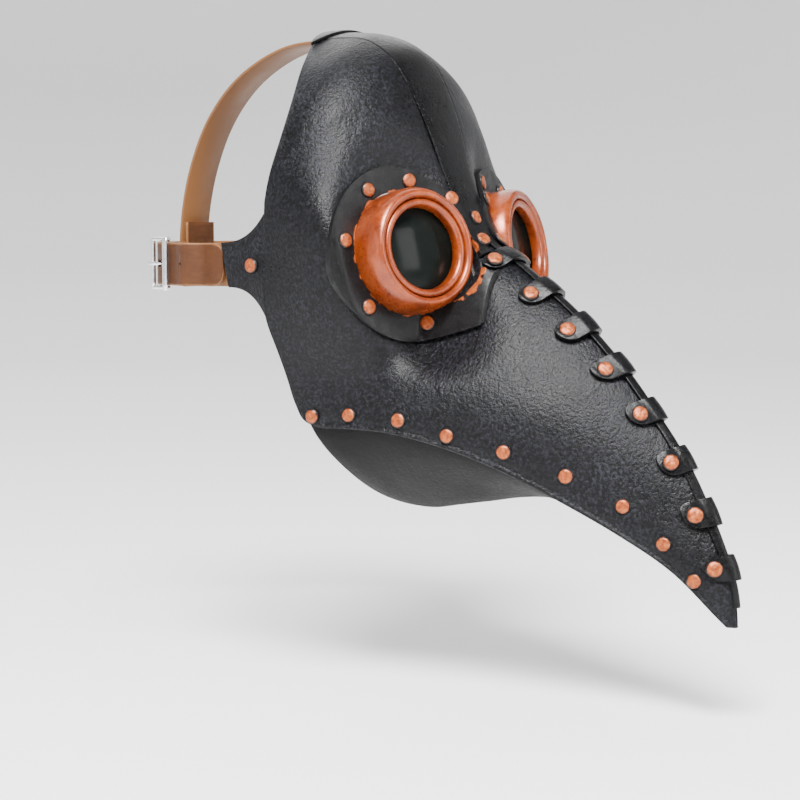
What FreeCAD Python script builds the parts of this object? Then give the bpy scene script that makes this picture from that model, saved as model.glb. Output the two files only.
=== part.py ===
import FreeCAD, Part
import math
import os
import Sketcher

# Plague doctor mask: a riveted leather half mask with a long hooked beak, two
# round goggles and a leather head harness with a small buckle.
#
# Frame, in millimetres: the origin is the middle of the wearer's head, midway
# between the two rivets that hold the side straps.  The wearer looks along -Y,
# +X is the wearer's left and +Z is up.

V = FreeCAD.Vector
doc = FreeCAD.newDocument("plague_doctor_mask")

# ---------------------------------------------------------------- dimensions

DIMENSIONS = {
    # leather
    "leather_thick": 2.4,
    "panel_gap": 0.25,
    "lap_gap": 0.45,
    "forehead_half_top": 23.0,
    "forehead_half_bridge": 11.0,
    "hem_width": 13.0,
    "hem_half_span": 33.0,
    "trim_thick": 1.7,
    "spine_half": 2.9,
    "spine_thick": 1.4,
    "spine_step": 1.9,
    # ridge tabs
    "tab_count": 8,
    "tab_pitch": 27.9,
    "tab_first": 18.5,
    "tab_width": 12.5,
    "tab_reach": 17.5,
    "tab_thick": 2.3,
    # goggles
    "goggle_across": 38.8,
    "goggle_forward": 89.3,
    "goggle_up": 7.85,
    "goggle_yaw": 14.5,
    "goggle_pitch": 10.0,
    "flange_radius": 44.5,
    "flange_thick": 2.2,
    "flange_shift": 7.5,
    "barrel_radius": 31.0,
    "barrel_height": 21.0,
    "barrel_foot": -2.6,
    "barrel_bore": 28.4,
    "crest_radius": 27.7,
    "seat_radius": 24.6,
    "ledge_radius": 22.4,
    "ledge_low": 9.6,
    "ledge_top": 12.0,
    "opening_radius": 20.5,
    "bezel_back": 14.1,
    "bezel_front": 19.4,
    "lens_radius": 24.4,
    "lens_thick": 2.0,
    "panel_hole": 31.15,
    # rivets
    "rivet_circle": 37.2,
    "flange_rivet": 4.0,
    "seam_rivet": 3.8,
    "tab_rivet": 4.2,
    "strap_rivet": 4.0,
    "rivet_dome": 1.9,
    "rivet_shank": 1.3,
    # harness
    "strap_level": 2.0,
    "strap_width": 22.0,
    "strap_thick": 1.6,
    "head_half_width": 77.2,
    "head_half_length": 88.0,
    # buckle
    "buckle_angle": 27.0,
    "bar_radius": 1.1,
    "heel_rise": 2.8,
    "keeper_back": 12.0,
    "keeper_rise": 9.3,
    "toe_ahead": 14.0,
    "toe_rise": 5.4,
    "rail_gap": 0.6,
    "rail_thick": 2.2,
    "prong_radius": 0.9,
    "prong_hub": 2.1,
    "prong_clearance": 0.06,
}

sheet = doc.addObject("Spreadsheet::Sheet", "dims")
for row, (alias, value) in enumerate(DIMENSIONS.items(), start=1):
    sheet.set(f"A{row}", alias)
    sheet.set(f"B{row}", str(value))
    sheet.setAlias(f"B{row}", alias)
doc.recompute()


def dim(alias):
    """A driving dimension, as the sheet holds it."""
    return float(sheet.get(alias))


# ------------------------------------------------------------ the mask's form

# Centre line of the mask in side view (y, z): crown, brow, bridge and the
# ridge of the beak down to its tip, at even steps of the station t.
FRONT = [
    (-13.0, 122.5), (-32.0, 122.5), (-51.0, 119.0), (-67.0, 107.5),
    (-78.5, 89.0), (-87.0, 70.5), (-94.5, 52.5), (-101.5, 36.0),
    (-108.5, 21.5), (-118.0, 11.5), (-133.0, 2.5), (-149.5, -9.0),
    (-166.5, -21.5), (-183.0, -35.5), (-198.5, -51.0), (-213.0, -68.0),
    (-226.5, -86.0), (-238.5, -106.0), (-249.0, -127.0), (-256.5, -147.5),
    (-259.0, -166.0),
]

# Outer edge of a side panel (t, x, y, z): down the temple and cheek to the
# corner of the jaw, then along the lower seam to the tip.
EDGE = [
    (0.000, 81.0, -34.0, 33.0), (0.110, 82.2, -33.5, 14.0),
    (0.220, 82.2, -34.0, -6.0), (0.330, 79.8, -36.5, -28.0),
    (0.380, 77.5, -40.5, -40.5), (0.430, 75.0, -44.5, -54.0),
    (0.475, 72.5, -48.0, -67.0), (0.505, 71.5, -52.5, -74.5),
    (0.530, 70.0, -59.0, -77.5), (0.580, 66.5, -76.5, -78.0),
    (0.640, 61.0, -102.0, -80.0), (0.700, 53.0, -127.5, -86.0),
    (0.760, 43.0, -154.0, -96.5), (0.820, 32.0, -180.0, -110.0),
    (0.880, 21.5, -206.0, -124.5), (0.940, 12.0, -231.0, -141.5),
    (1.000, 3.4, -255.0, -165.5),
]

# Under side of the jaw and beak on the centre line (t, y, z).
KEEL = [
    (0.505, -74.0, -124.0), (0.530, -82.0, -124.0), (0.580, -97.0, -121.5),
    (0.640, -116.0, -118.0), (0.700, -136.0, -114.5), (0.760, -158.0, -113.5),
    (0.820, -181.0, -116.5), (0.880, -206.5, -124.0), (0.940, -230.5, -140.0),
    (1.000, -251.0, -163.5),
]

# How full a section is: 2 is an ellipse, 1 a straight-sided wedge (t, value).
FULLNESS = [
    (0.00, 1.75), (0.05, 1.9), (0.10, 2.05), (0.20, 2.25), (0.30, 2.15),
    (0.40, 1.9), (0.45, 1.7), (0.55, 1.45), (0.70, 1.32), (0.90, 1.3),
    (1.00, 1.6),
]

# How far a section bows forwards of its chord, at the back of the crown.
BOW = [(0.0, 17.0), (0.05, 12.0), (0.10, 8.0), (0.15, 5.0), (0.20, 2.0), (0.25, 0.0)]

# Rivets of the lower seam (t, distance above the panel's edge).
SEAM_RIVETS = [
    (0.513, 5.2), (0.559, 9.5), (0.623, 8.5), (0.681, 7.0), (0.735, 7.8),
    (0.789, 8.2), (0.843, 8.0), (0.897, 6.5), (0.946, 4.6),
]

JAW = 0.505        # station of the jaw corner, where the under panel starts
TONGUE = 0.425     # station where the forehead panel's tongue ends
TONGUE_START = 0.34
LAP = 13.0         # how far the under panel runs up inside the side panels


def smooth(low, high, value):
    """0 below low, 1 above high, and a smooth step between."""
    f = min(max((value - low) / (high - low), 0.0), 1.0)
    return f * f * (3.0 - 2.0 * f)


def along(table, column, t):
    """One column of a table whose first column is t, as a smooth curve."""
    last = len(table) - 1
    t = min(max(t, table[0][0]), table[last][0])
    i = 0
    while i < last - 1 and t > table[i + 1][0]:
        i += 1

    def slope(k):
        if k == 0 or k == last:
            a, b = (0, 1) if k == 0 else (last - 1, last)
            return (table[b][column] - table[a][column]) / (table[b][0] - table[a][0])
        before = table[k][0] - table[k - 1][0]
        after = table[k + 1][0] - table[k][0]
        back = (table[k][column] - table[k - 1][column]) / before
        ahead = (table[k + 1][column] - table[k][column]) / after
        return (back * after + ahead * before) / (before + after)

    span = table[i + 1][0] - table[i][0]
    f = (t - table[i][0]) / span
    start = (1 + 2 * f) * (1 - f) ** 2 * table[i][column]
    start += f * (1 - f) ** 2 * span * slope(i)
    end = f * f * (3 - 2 * f) * table[i + 1][column]
    end += f * f * (f - 1) * span * slope(i + 1)
    return start + end


FRONT_LINE = [(i / (len(FRONT) - 1), y, z) for i, (y, z) in enumerate(FRONT)]


def goggle_axis(side):
    """Unit vector out of the goggle; side is +1 for the wearer's left."""
    yaw = math.radians(dim("goggle_yaw"))
    pitch = math.radians(dim("goggle_pitch"))
    return V(side * math.sin(yaw) * math.cos(pitch), -math.cos(yaw) * math.cos(pitch), math.sin(pitch))


def goggle_centre(side):
    return V(side * dim("goggle_across"), -dim("goggle_forward"), dim("goggle_up"))


LEFT_AXIS = goggle_axis(1)
LEFT_CENTRE = goggle_centre(1)
FLANGE_RADIUS = dim("flange_radius")
OUTWARD = V(math.cos(math.radians(dim("goggle_yaw"))), math.sin(math.radians(dim("goggle_yaw"))), 0)


def flattened(point):
    """Settles the form onto the goggle's plane, except towards the nose."""
    from_centre = point - LEFT_CENTRE
    height = from_centre.dot(LEFT_AXIS)
    radius = math.sqrt(max(from_centre.dot(from_centre) - height * height, 0.0))
    weight = 1.0 - smooth(0.92 * FLANGE_RADIUS, 1.6 * FLANGE_RADIUS, radius)
    weight *= 1.0 - smooth(4.0, 32.0, -from_centre.dot(OUTWARD))
    weight *= 1.0 - smooth(16.0, 46.0, abs(height))
    return point - LEFT_AXIS * (height * weight)


def skin(t, v):
    """Outer face of the leather: v is 0 on the centre line, +1 on the left
    panel's outer edge and -1 on the right panel's."""
    y0, z0 = along(FRONT_LINE, 1, t), along(FRONT_LINE, 2, t)
    x1, y1, z1 = along(EDGE, 1, t), along(EDGE, 2, t), along(EDGE, 3, t)
    power = 2.0 / along(FULLNESS, 1, t)
    turn = min(abs(v), 1.0) * math.pi / 2
    back = 1.0 - max(math.cos(turn), 0.0) ** power
    out = math.sin(turn) ** power
    chord = math.hypot(y1 - y0, z1 - z0)
    bow = along(BOW, 1, t) * math.sin(math.pi * min(back, 1.0) ** 0.8) / chord
    y = y0 + (y1 - y0) * back + (z1 - z0) * bow
    z = z0 + (z1 - z0) * back - (y1 - y0) * bow
    point = flattened(V(x1 * out, y, z))
    return V(math.copysign(point.x, v), point.y, point.z)


def v_at(t, across):
    """The v where the section at t is this far from the centre plane."""
    low, high = 0.0, 1.0
    for _ in range(30):
        middle = (low + high) / 2
        if skin(t, middle).x < across:
            low = middle
        else:
            high = middle
    return high


def normal(t, v):
    """Outward unit normal of the skin."""
    dt, dv = 0.003, 0.012
    t0, t1 = max(t - dt, 0.0), min(t + dt, 1.0)
    v0, v1 = max(v - dv, -1.0), min(v + dv, 1.0)
    n = (skin(t1, v) - skin(t0, v)).cross(skin(t, v1) - skin(t, v0))
    n.normalize()
    return n


# ---------------------------------------------------- solids made from grids


def grid_normals(grid):
    """Outward normals of a grid of points, from its neighbours."""
    rows, columns = len(grid), len(grid[0])
    normals = []
    for i in range(rows):
        line = []
        for j in range(columns):
            down = grid[min(i + 1, rows - 1)][j] - grid[max(i - 1, 0)][j]
            over = grid[i][min(j + 1, columns - 1)] - grid[i][max(j - 1, 0)]
            n = down.cross(over)
            n.normalize()
            line.append(n)
        normals.append(line)
    return normals


def offset_grid(grid, distance):
    """A grid moved along its normals; distance is a number or f(i, j)."""
    reach = distance if callable(distance) else lambda i, j: distance
    normals = grid_normals(grid)
    return [[p + normals[i][j] * reach(i, j) for j, p in enumerate(line)] for i, line in enumerate(grid)]


def surface(grid):
    face = Part.BSplineSurface()
    face.interpolate(grid)
    return face


def solid_between(outer, inner):
    """A closed solid from two grids of the same size and their four sides."""
    top, bottom = surface(outer), surface(inner)
    u0, u1, v0, v1 = top.bounds()
    s0, s1, w0, w1 = bottom.bounds()
    pairs = [
        (top.uIso(u0), bottom.uIso(s0)), (top.uIso(u1), bottom.uIso(s1)),
        (top.vIso(v0), bottom.vIso(w0)), (top.vIso(v1), bottom.vIso(w1)),
    ]
    faces = [top.toShape(), bottom.toShape()]
    faces += [Part.makeRuledSurface(a.toShape(), b.toShape()) for a, b in pairs]
    shell = Part.makeShell(faces)
    shell.sewShape()
    solid = Part.makeSolid(shell)
    return solid if solid.Volume > 0 else solid.reversed()


def steps(start, end, count):
    return [start + (end - start) * i / count for i in range(count + 1)]


def evenly(points, count):
    """The same polyline with count equal runs."""
    lengths = [0.0]
    for a, b in zip(points, points[1:]):
        lengths.append(lengths[-1] + (b - a).Length)
    spaced, i = [], 0
    for k in range(count + 1):
        want = lengths[-1] * k / count
        while i < len(points) - 2 and lengths[i + 1] < want:
            i += 1
        share = (want - lengths[i]) / (lengths[i + 1] - lengths[i])
        spaced.append(points[i] + (points[i + 1] - points[i]) * min(share, 1.0))
    return spaced


def mirrored(shape):
    return shape.mirror(V(0, 0, 0), V(1, 0, 0))


NODES = []


def feature(label, shape):
    """A sub-part whose form no primitive gives."""
    node = doc.addObject("Part::Feature", label)
    node.Label = label
    node.Shape = shape
    node.Placement = FreeCAD.Placement()
    NODES.append(node)
    return node


# ------------------------------------------------------------ leather panels

THICK = dim("leather_thick")
GAP = dim("panel_gap")


def forehead_half(t):
    """Half width of the forehead panel, which ends in a rounded tongue."""
    top, bridge = dim("forehead_half_top"), dim("forehead_half_bridge")
    half = top + (bridge - top) * min(t / TONGUE_START, 1.0)
    tongue = min(max((t - TONGUE_START) / (TONGUE - TONGUE_START), 0.0), 1.0)
    return max(half * math.sqrt(max(1.0 - tongue ** 2.2, 0.0)), 1.2)


def strap_lug():
    """The lug behind the temple that the side strap is riveted to: flared
    where it grows out of the panel's rear edge, with a slanted end."""
    grid = []
    for g in steps(0.0, 1.0, 12):
        root = skin(0.03 + 0.28 * g, 1.0)
        tip = V(82.5, -7.0 - 5.5 * g, 13.5 - 23.0 * g)
        line = []
        for f in steps(-0.06, 1.0, 14):
            near = max(f, 0.0)
            across = root.x + (tip.x - root.x) * smooth(0.0, 1.0, near)
            level = root.z + (tip.z - root.z) * (1.0 - (1.0 - near) ** 2.6)
            line.append(V(across, root.y + (tip.y - root.y) * f, level))
        grid.append(line)
    inner = [[V(p.x - THICK, p.y, p.z) for p in line] for line in grid]
    return solid_between(grid, inner)


def goggle_hole(side, radius):
    start = goggle_centre(side) - goggle_axis(side) * 30
    return Part.makeCylinder(radius, 60, start, goggle_axis(side))


def side_panel():
    """The wearer's left side panel, with its strap lug and goggle hole."""
    rows = steps(0.0, JAW, 56) + steps(JAW, 1.0, 34)[1:]
    grid = []
    for t in rows:
        across = forehead_half(t) if t < TONGUE else 0.0
        start = v_at(t, across + GAP)
        grid.append(evenly([skin(t, v) for v in steps(start, 1.0, 90)], 24))
    inner = offset_grid(grid, -THICK)
    inner = [[V(max(p.x, GAP), p.y, p.z) for p in line] for line in inner]
    panel = solid_between(grid, inner).cut(goggle_hole(1, dim("panel_hole")))
    far_side = Part.makeBox(40, 400, 400, V(GAP / 2 - 40, -300, -220))
    return panel.cut([far_side, forehead_panel(GAP)]).fuse(strap_lug())


def forehead_panel(margin=0.0):
    """The forehead panel, or the room it needs between the side panels."""
    grid = []
    for t in steps(0.0, TONGUE, 40):
        half = v_at(t, forehead_half(t) - GAP + margin)
        grid.append([skin(t, half * f) for f in steps(-1.0, 1.0, 14)])
    return solid_between(offset_grid(grid, 4.0 * margin), offset_grid(grid, -THICK - 4.0 * margin))


def under_section(t):
    """Half a section of the under panel, from its lap down to the keel."""
    inset = THICK + dim("lap_gap")
    lap = min(LAP, 0.6 * along(EDGE, 1, t))
    height = (skin(t, 1.0) - skin(t, 0.9)).Length / 0.1
    first = 1.0 - lap / height
    points = [skin(t, v) - normal(t, v) * inset for v in steps(first, 1.0, 8)]
    corner = points[-1]
    keel = V(0, along(KEEL, 1, t), along(KEEL, 2, t))
    power = 2.0 / (1.65 - 0.15 * smooth(0.6, 0.8, t))
    for f in steps(1.0, 0.0, 40)[1:]:
        turn = f * math.pi / 2
        up = 1.0 - max(math.cos(turn), 0.0) ** power
        out = math.sin(turn) ** power
        points.append(V(corner.x * out, keel.y + (corner.y - keel.y) * up, keel.z + (corner.z - keel.z) * up))
    return evenly(points, 14)


def under_panel():
    grid = []
    for t in steps(JAW + 0.004, 0.985, 34):
        left = under_section(t)
        right = [V(-p.x, p.y, p.z) for p in reversed(left)]
        grid.append(left + right[1:])
    return solid_between(grid, offset_grid(grid, -THICK))


def hem_band():
    """The band folded over the crown's edge, tapering to nothing."""
    span = dim("hem_half_span")
    grid = []
    for f in steps(-0.96, 0.96, 20):
        v = v_at(0.0, abs(f) * span) * (1 if f > 0 else -1)
        reach = dim("hem_width") * (1.0 - f * f) / 380.0
        grid.append([skin(t, v) for t in steps(0.0, max(reach, 0.004), 4)])
    grid = [list(column) for column in zip(*grid)]
    return solid_between(offset_grid(grid, GAP + dim("trim_thick")), offset_grid(grid, GAP))


def ridge_length(t0, t1):
    points = [skin(t, 0.0) for t in steps(t0, t1, 60)]
    return sum((b - a).Length for a, b in zip(points, points[1:]))


def ridge_station(distance):
    """The t this far along the ridge from the end of the tongue."""
    low, high = TONGUE, 1.0
    for _ in range(24):
        middle = (low + high) / 2
        if ridge_length(TONGUE, middle) < distance:
            low = middle
        else:
            high = middle
    return low


def beak_spine():
    """The narrow strip laid along the ridge, under the tabs."""
    grid = []
    for t in steps(TONGUE + 0.012, 0.975, 44):
        edge = v_at(t, dim("spine_half") * (1.0 - 0.4 * smooth(0.86, 0.96, t)))
        grid.append(evenly([skin(t, edge * f) for f in steps(-1.0, 1.0, 40)], 10))
    return solid_between(offset_grid(grid, GAP + dim("spine_thick")), offset_grid(grid, GAP))


def tab_reach_v(t, distance):
    """The v this far down the side from the ridge."""
    v, walked = 0.0, 0.0
    while walked < distance and v < 0.95:
        walked += (skin(t, v + 0.01) - skin(t, v)).Length
        v += 0.01
    return v


def tab_scale(index):
    """The last tabs shorten as the beak narrows."""
    return 1.0 - 0.26 * smooth(1.5, 5.0, index)


def ridge_tab(index):
    """A round-ended leather tab laid across the ridge and its spine."""
    middle = ridge_station(dim("tab_first") + index * dim("tab_pitch"))
    half_t = 0.5 * dim("tab_width") / ridge_length(0.5, 0.95) * 0.45
    reach = dim("tab_reach") * tab_scale(index)
    end = tab_reach_v(middle, reach)
    grid, lift = [], []
    for f in steps(-1.0, 1.0, 40):
        narrow = math.sqrt(max(1.0 - max(abs(f) - 0.72, 0.0) ** 2 / 0.0841, 0.06))
        rise = dim("spine_step") * (1.0 - smooth(0.34, 0.74, abs(f)))
        grid.append([skin(middle - half_t * narrow * g, end * f) for g in steps(-1.0, 1.0, 6)])
        lift.append(GAP + 0.1 + rise)
    under = offset_grid(grid, lambda i, j: lift[i])
    over = offset_grid(grid, lambda i, j: lift[i] + dim("tab_thick"))
    return solid_between(over, under)


feature("forehead_panel", forehead_panel())
LEFT_PANEL = side_panel()
feature("side_panel_left", LEFT_PANEL)
feature("side_panel_right", mirrored(LEFT_PANEL))
feature("under_panel", under_panel())
feature("crown_hem", hem_band())
feature("beak_spine", beak_spine())
for number in range(int(dim("tab_count"))):
    feature(f"ridge_tab_{number + 1}", ridge_tab(number))

# ------------------------------------------------------------------- goggles


def goggle_placement(side):
    turn = FreeCAD.Rotation(V(0, 0, 1), goggle_axis(side))
    return FreeCAD.Placement(goggle_centre(side), turn)


def revolved(label, profile, placement):
    """A PartDesign body turned about its Z axis.  The profile lists corners as
    (radius alias, extra, height alias, extra), each bound to the sheet."""
    body = doc.addObject("PartDesign::Body", label)
    body.Label = label
    sketch = body.newObject("Sketcher::SketchObject", label + "_profile")
    plane = [f for f in body.Origin.OriginFeatures if f.Role == "XZ_Plane"][0]
    sketch.AttachmentSupport = [(plane, "")]
    sketch.MapMode = "FlatFace"
    corners = [V(dim(r) + dr, dim(z) + dz, 0) for r, dr, z, dz in profile]
    count = len(corners)
    for i in range(count):
        sketch.addGeometry(Part.LineSegment(corners[i], corners[(i + 1) % count]), False)
    for i in range(count):
        sketch.addConstraint(Sketcher.Constraint("Coincident", i, 2, (i + 1) % count, 1))
    for i, (radius, extra_radius, height, extra_height) in enumerate(profile):
        across = sketch.addConstraint(Sketcher.Constraint("DistanceX", -1, 1, i, 1, corners[i].x))
        sketch.setExpression(f"Constraints[{across}]", f"dims.{radius} + {extra_radius}")
        up = sketch.addConstraint(Sketcher.Constraint("DistanceY", -1, 1, i, 1, corners[i].y))
        sketch.setExpression(f"Constraints[{up}]", f"dims.{height} + {extra_height}")
    turned = body.newObject("PartDesign::Revolution", label + "_turned")
    turned.Profile = sketch
    turned.ReferenceAxis = (sketch, ["V_Axis"])
    turned.Angle = 360.0
    body.Tip = turned
    doc.recompute()
    body.Placement = placement
    NODES.append(body)
    return body


BARREL = [
    ("barrel_bore", 0.0, "barrel_foot", 0.0), ("barrel_radius", 0.0, "barrel_foot", 0.0),
    ("barrel_radius", 0.0, "barrel_height", -7.5), ("barrel_radius", -0.5, "barrel_height", -4.0),
    ("crest_radius", 1.4, "barrel_height", -1.2), ("crest_radius", 0.0, "barrel_height", 0.0),
    ("crest_radius", -1.7, "barrel_height", -0.2), ("seat_radius", 0.0, "barrel_height", -1.4),
    ("seat_radius", 0.0, "ledge_top", 0.0), ("ledge_radius", 0.0, "ledge_top", 0.0),
    ("ledge_radius", 0.0, "ledge_low", 0.0), ("barrel_bore", 0.0, "ledge_low", 0.0),
]
BEZEL = [
    ("opening_radius", 0.0, "bezel_back", 0.0), ("seat_radius", -0.1, "bezel_back", 0.0),
    ("seat_radius", -0.1, "bezel_front", 0.0), ("seat_radius", -1.3, "bezel_front", 0.7),
    ("opening_radius", 1.2, "bezel_front", 0.3), ("opening_radius", 0.0, "bezel_front", -1.2),
]


def first_tab_room():
    """The zone of the first ridge tab, which the goggle rings stop short of."""
    middle = ridge_station(dim("tab_first"))
    half_t = 0.5 * (dim("tab_width") + 2.4) / ridge_length(0.5, 0.95) * 0.45
    end = tab_reach_v(middle, dim("tab_reach") + 1.2)
    grid = [[skin(middle - half_t * g, v) for g in steps(-1.0, 1.0, 6)] for v in steps(-end, end, 24)]
    return solid_between(offset_grid(grid, 9.0), offset_grid(grid, -4.0))


def goggle_flange(side):
    """The leather ring laid on the panel round the goggle."""
    grid = []
    for t in steps(0.10, 0.78, 56):
        start = v_at(t, 4.5)
        grid.append(evenly([skin(t, v) for v in steps(start, 0.9, 80)], 32))
    sheet_solid = solid_between(offset_grid(grid, GAP + dim("flange_thick")), offset_grid(grid, GAP))
    ring = goggle_hole(1, FLANGE_RADIUS).cut(goggle_hole(1, dim("panel_hole")))
    narrow = goggle_hole(1, FLANGE_RADIUS)
    narrow.translate(OUTWARD * dim("flange_shift"))
    shape = sheet_solid.common(ring).common(narrow).cut(first_tab_room())
    shape = max(shape.Solids, key=lambda s: s.Volume)
    return shape if side > 0 else mirrored(shape)


SIDES = (("left", 1), ("right", -1))
for name, side in SIDES:
    feature(f"goggle_flange_{name}", goggle_flange(side))
    revolved(f"goggle_barrel_{name}", BARREL, goggle_placement(side))
    revolved(f"goggle_bezel_{name}", BEZEL, goggle_placement(side))
    lens = doc.addObject("Part::Cylinder", f"lens_{name}")
    lens.Label = f"lens_{name}"
    lens.setExpression("Radius", "dims.lens_radius")
    lens.setExpression("Height", "dims.lens_thick")
    lens.Placement = goggle_placement(side)
    lens.Placement.Base = goggle_centre(side) + goggle_axis(side) * (dim("ledge_top") + 0.02)
    NODES.append(lens)

# -------------------------------------------------------------------- rivets


def rivet(point, out, radius, grip):
    """A rivet with a low round head on the outside and a peened end inside;
    grip is the thickness that it clamps."""
    dome, shank = dim("rivet_dome"), dim("rivet_shank")
    profile = [
        V(0, 0, dome), V(0.55 * radius, 0, 0.93 * dome), V(0.9 * radius, 0, 0.55 * dome),
        V(radius, 0, 0.12 * dome), V(radius, 0, 0), V(shank, 0, 0), V(shank, 0, -grip),
        V(2.0 * shank, 0, -grip), V(1.6 * shank, 0, -grip - 1.0), V(0, 0, -grip - 1.0), V(0, 0, dome),
    ]
    solid = Part.Face(Part.makePolygon(profile)).revolve(V(0, 0, 0), V(0, 0, 1), 360)
    solid.Placement = FreeCAD.Placement(point, FreeCAD.Rotation(V(0, 0, 1), out))
    return solid


def rivets(label, places):
    """Identical rivets as one group: places lists (point, outward, radius, grip)."""
    feature(label, Part.makeCompound([rivet(*place) for place in places]))


def both_sides(places):
    flip = [(V(-p.x, p.y, p.z), V(-n.x, n.y, n.z), r, g) for p, n, r, g in places]
    return {"left": places, "right": flip}


def seam_places():
    """Rivets along the lower seam, above the edge of the side panel."""
    places = []
    for t, rise in SEAM_RIVETS:
        height = (skin(t, 1.0) - skin(t, 0.92)).Length / 0.08
        v = 1.0 - rise / height
        out = normal(t, v)
        places.append((skin(t, v) + out * 0.05, out, dim("seam_rivet"), 2 * THICK + 0.6))
    return places


def flange_places():
    """Rivets round the flange; angles from the nose side, anticlockwise as
    the goggle's wearer-right twin is seen from the front."""
    angles = (4, 44, 79, 121, 170, 226, 284)
    axis, centre = LEFT_AXIS, LEFT_CENTRE
    up = V(0, 0, 1) - axis * axis.z
    up.normalize()
    nose = up.cross(axis) * -1
    if nose.x > 0:
        nose = nose * -1
    places = []
    for angle in angles:
        a = math.radians(angle)
        foot = centre + (nose * math.cos(a) + up * math.sin(a)) * dim("rivet_circle")
        point, out = skin_below(foot, axis)
        places.append((point + out * (GAP + dim("flange_thick") + 0.02), out, dim("flange_rivet"), THICK + 2.8))
    return places


def skin_below(foot, axis):
    """The skin point nearest the line through foot along axis, and its normal."""
    def miss(t, v):
        away = skin(t, v) - foot
        return (away - axis * away.dot(axis)).Length

    best = min(((miss(t, v), t, v) for t in steps(0.1, 0.66, 40) for v in steps(0.02, 0.9, 40)))
    _, t, v = best
    reach_t, reach_v = 0.014, 0.022
    for _ in range(14):
        tries = [(miss(a, b), a, b) for a in (t - reach_t, t, t + reach_t) for b in (v - reach_v, v, v + reach_v)]
        _, t, v = min(tries)
        reach_t, reach_v = reach_t * 0.6, reach_v * 0.6
    return skin(t, v), normal(t, v)


def tab_rivet_places():
    places = []
    for index in range(int(dim("tab_count"))):
        middle = ridge_station(dim("tab_first") + index * dim("tab_pitch"))
        end = tab_reach_v(middle, dim("tab_reach") * tab_scale(index) - 5.6)
        lift = GAP + dim("tab_thick") + 0.02
        out = normal(middle, end)
        places.append((skin(middle, end) + out * lift, out, dim("tab_rivet"), THICK + dim("tab_thick") + 0.4))
    return places


for name, places in both_sides(flange_places()).items():
    rivets(f"flange_rivets_{name}", places)
for name, places in both_sides(seam_places()).items():
    rivets(f"seam_rivets_{name}", places)
for name, places in both_sides(tab_rivet_places()).items():
    rivets(f"tab_rivets_{name}", places)
tongue_t = TONGUE - 0.042
tongue_out = V(0, -1, 0.25)
tongue_out.normalize()
rivets("tongue_rivet", [(skin(tongue_t, 0.0) + tongue_out * 0.1, tongue_out, dim("seam_rivet"), THICK + 0.6)])

# ------------------------------------------------------------------- harness

STRAP = dim("strap_thick")
WIDTH = dim("strap_width")
LEVEL = dim("strap_level")


def girth(angle, rise):
    """A point round the head at strap level: angle 0 is the wearer's right
    temple, 90 the back; rise is the distance out from the head.  Negative
    angles run straight on forwards, in degrees of the same length."""
    a, b = dim("head_half_width") + rise, dim("head_half_length") + rise
    if angle < 0:
        return V(-a, b * math.radians(angle), 0)
    turn = math.radians(angle)
    return V(-a * math.cos(turn), b * math.sin(turn), 0)


def ribbon(points, thick, width, low, axis):
    """A strap: a smooth band through the points of its inner face, thick
    outwards, and width wide along the axis from low."""
    curve = Part.BSplineCurve()
    curve.interpolate(points)
    across = V(0, 0, 1) if axis == "Z" else V(1, 0, 0)
    outer_points = []
    for point in points:
        side = curve.tangent(curve.parameter(point))[0].cross(across)
        side.normalize()
        side = side if side.dot(point) > 0 else side * -1
        outer_points.append(point + side * thick)
    outer = Part.BSplineCurve()
    outer.interpolate(outer_points)
    ends = [Part.makeLine(points[0], outer_points[0]), Part.makeLine(points[-1], outer_points[-1])]
    wire = Part.Wire(Part.__sortEdges__([curve.toShape(), ends[0], outer.toShape(), ends[1]]))
    solid = Part.Face(wire).extrude(across * width)
    solid.translate(across * low)
    return solid if solid.Volume > 0 else solid.reversed()


BUCKLE = dim("buckle_angle")
BAR = dim("bar_radius")


def buckle_frame_at(rise):
    """Placement at the heel bar: X back along the strap, Y out, Z up."""
    tangent = girth(BUCKLE + 1, 0) - girth(BUCKLE - 1, 0)
    tangent.normalize()
    out = V(0, 0, 1).cross(tangent)
    out = out if out.x < 0 else out * -1
    matrix = FreeCAD.Matrix(
        tangent.x, out.x, 0, 0,
        tangent.y, out.y, 0, 0,
        0, 0, 1, LEVEL,
        0, 0, 0, 1,
    )
    return matrix, tangent, out, girth(BUCKLE, rise) + V(0, 0, LEVEL)


_, ALONG, OUT, HEEL = buckle_frame_at(dim("heel_rise"))


def at_buckle(u, rise):
    """Plan point u back along the strap from the heel bar, rise off the head
    measured at the heel bar."""
    point = HEEL + ALONG * u + OUT * (rise - dim("heel_rise"))
    return V(point.x, point.y, 0)


def slot_box(u0, u1, rise0, rise1, half_high):
    """A box cut through a strap at the buckle."""
    corners = [at_buckle(u0, rise0), at_buckle(u1, rise0), at_buckle(u1, rise1), at_buckle(u0, rise1)]
    face = Part.Face(Part.makePolygon(corners + corners[:1]))
    solid = face.extrude(V(0, 0, 2 * half_high))
    solid.translate(V(0, 0, LEVEL - half_high))
    return solid


FOLD = BAR + 0.12                 # inside of the fold round the heel bar
OUTER_PLY = dim("heel_rise") + FOLD
INNER_PLY = dim("heel_rise") - FOLD - STRAP


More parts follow.
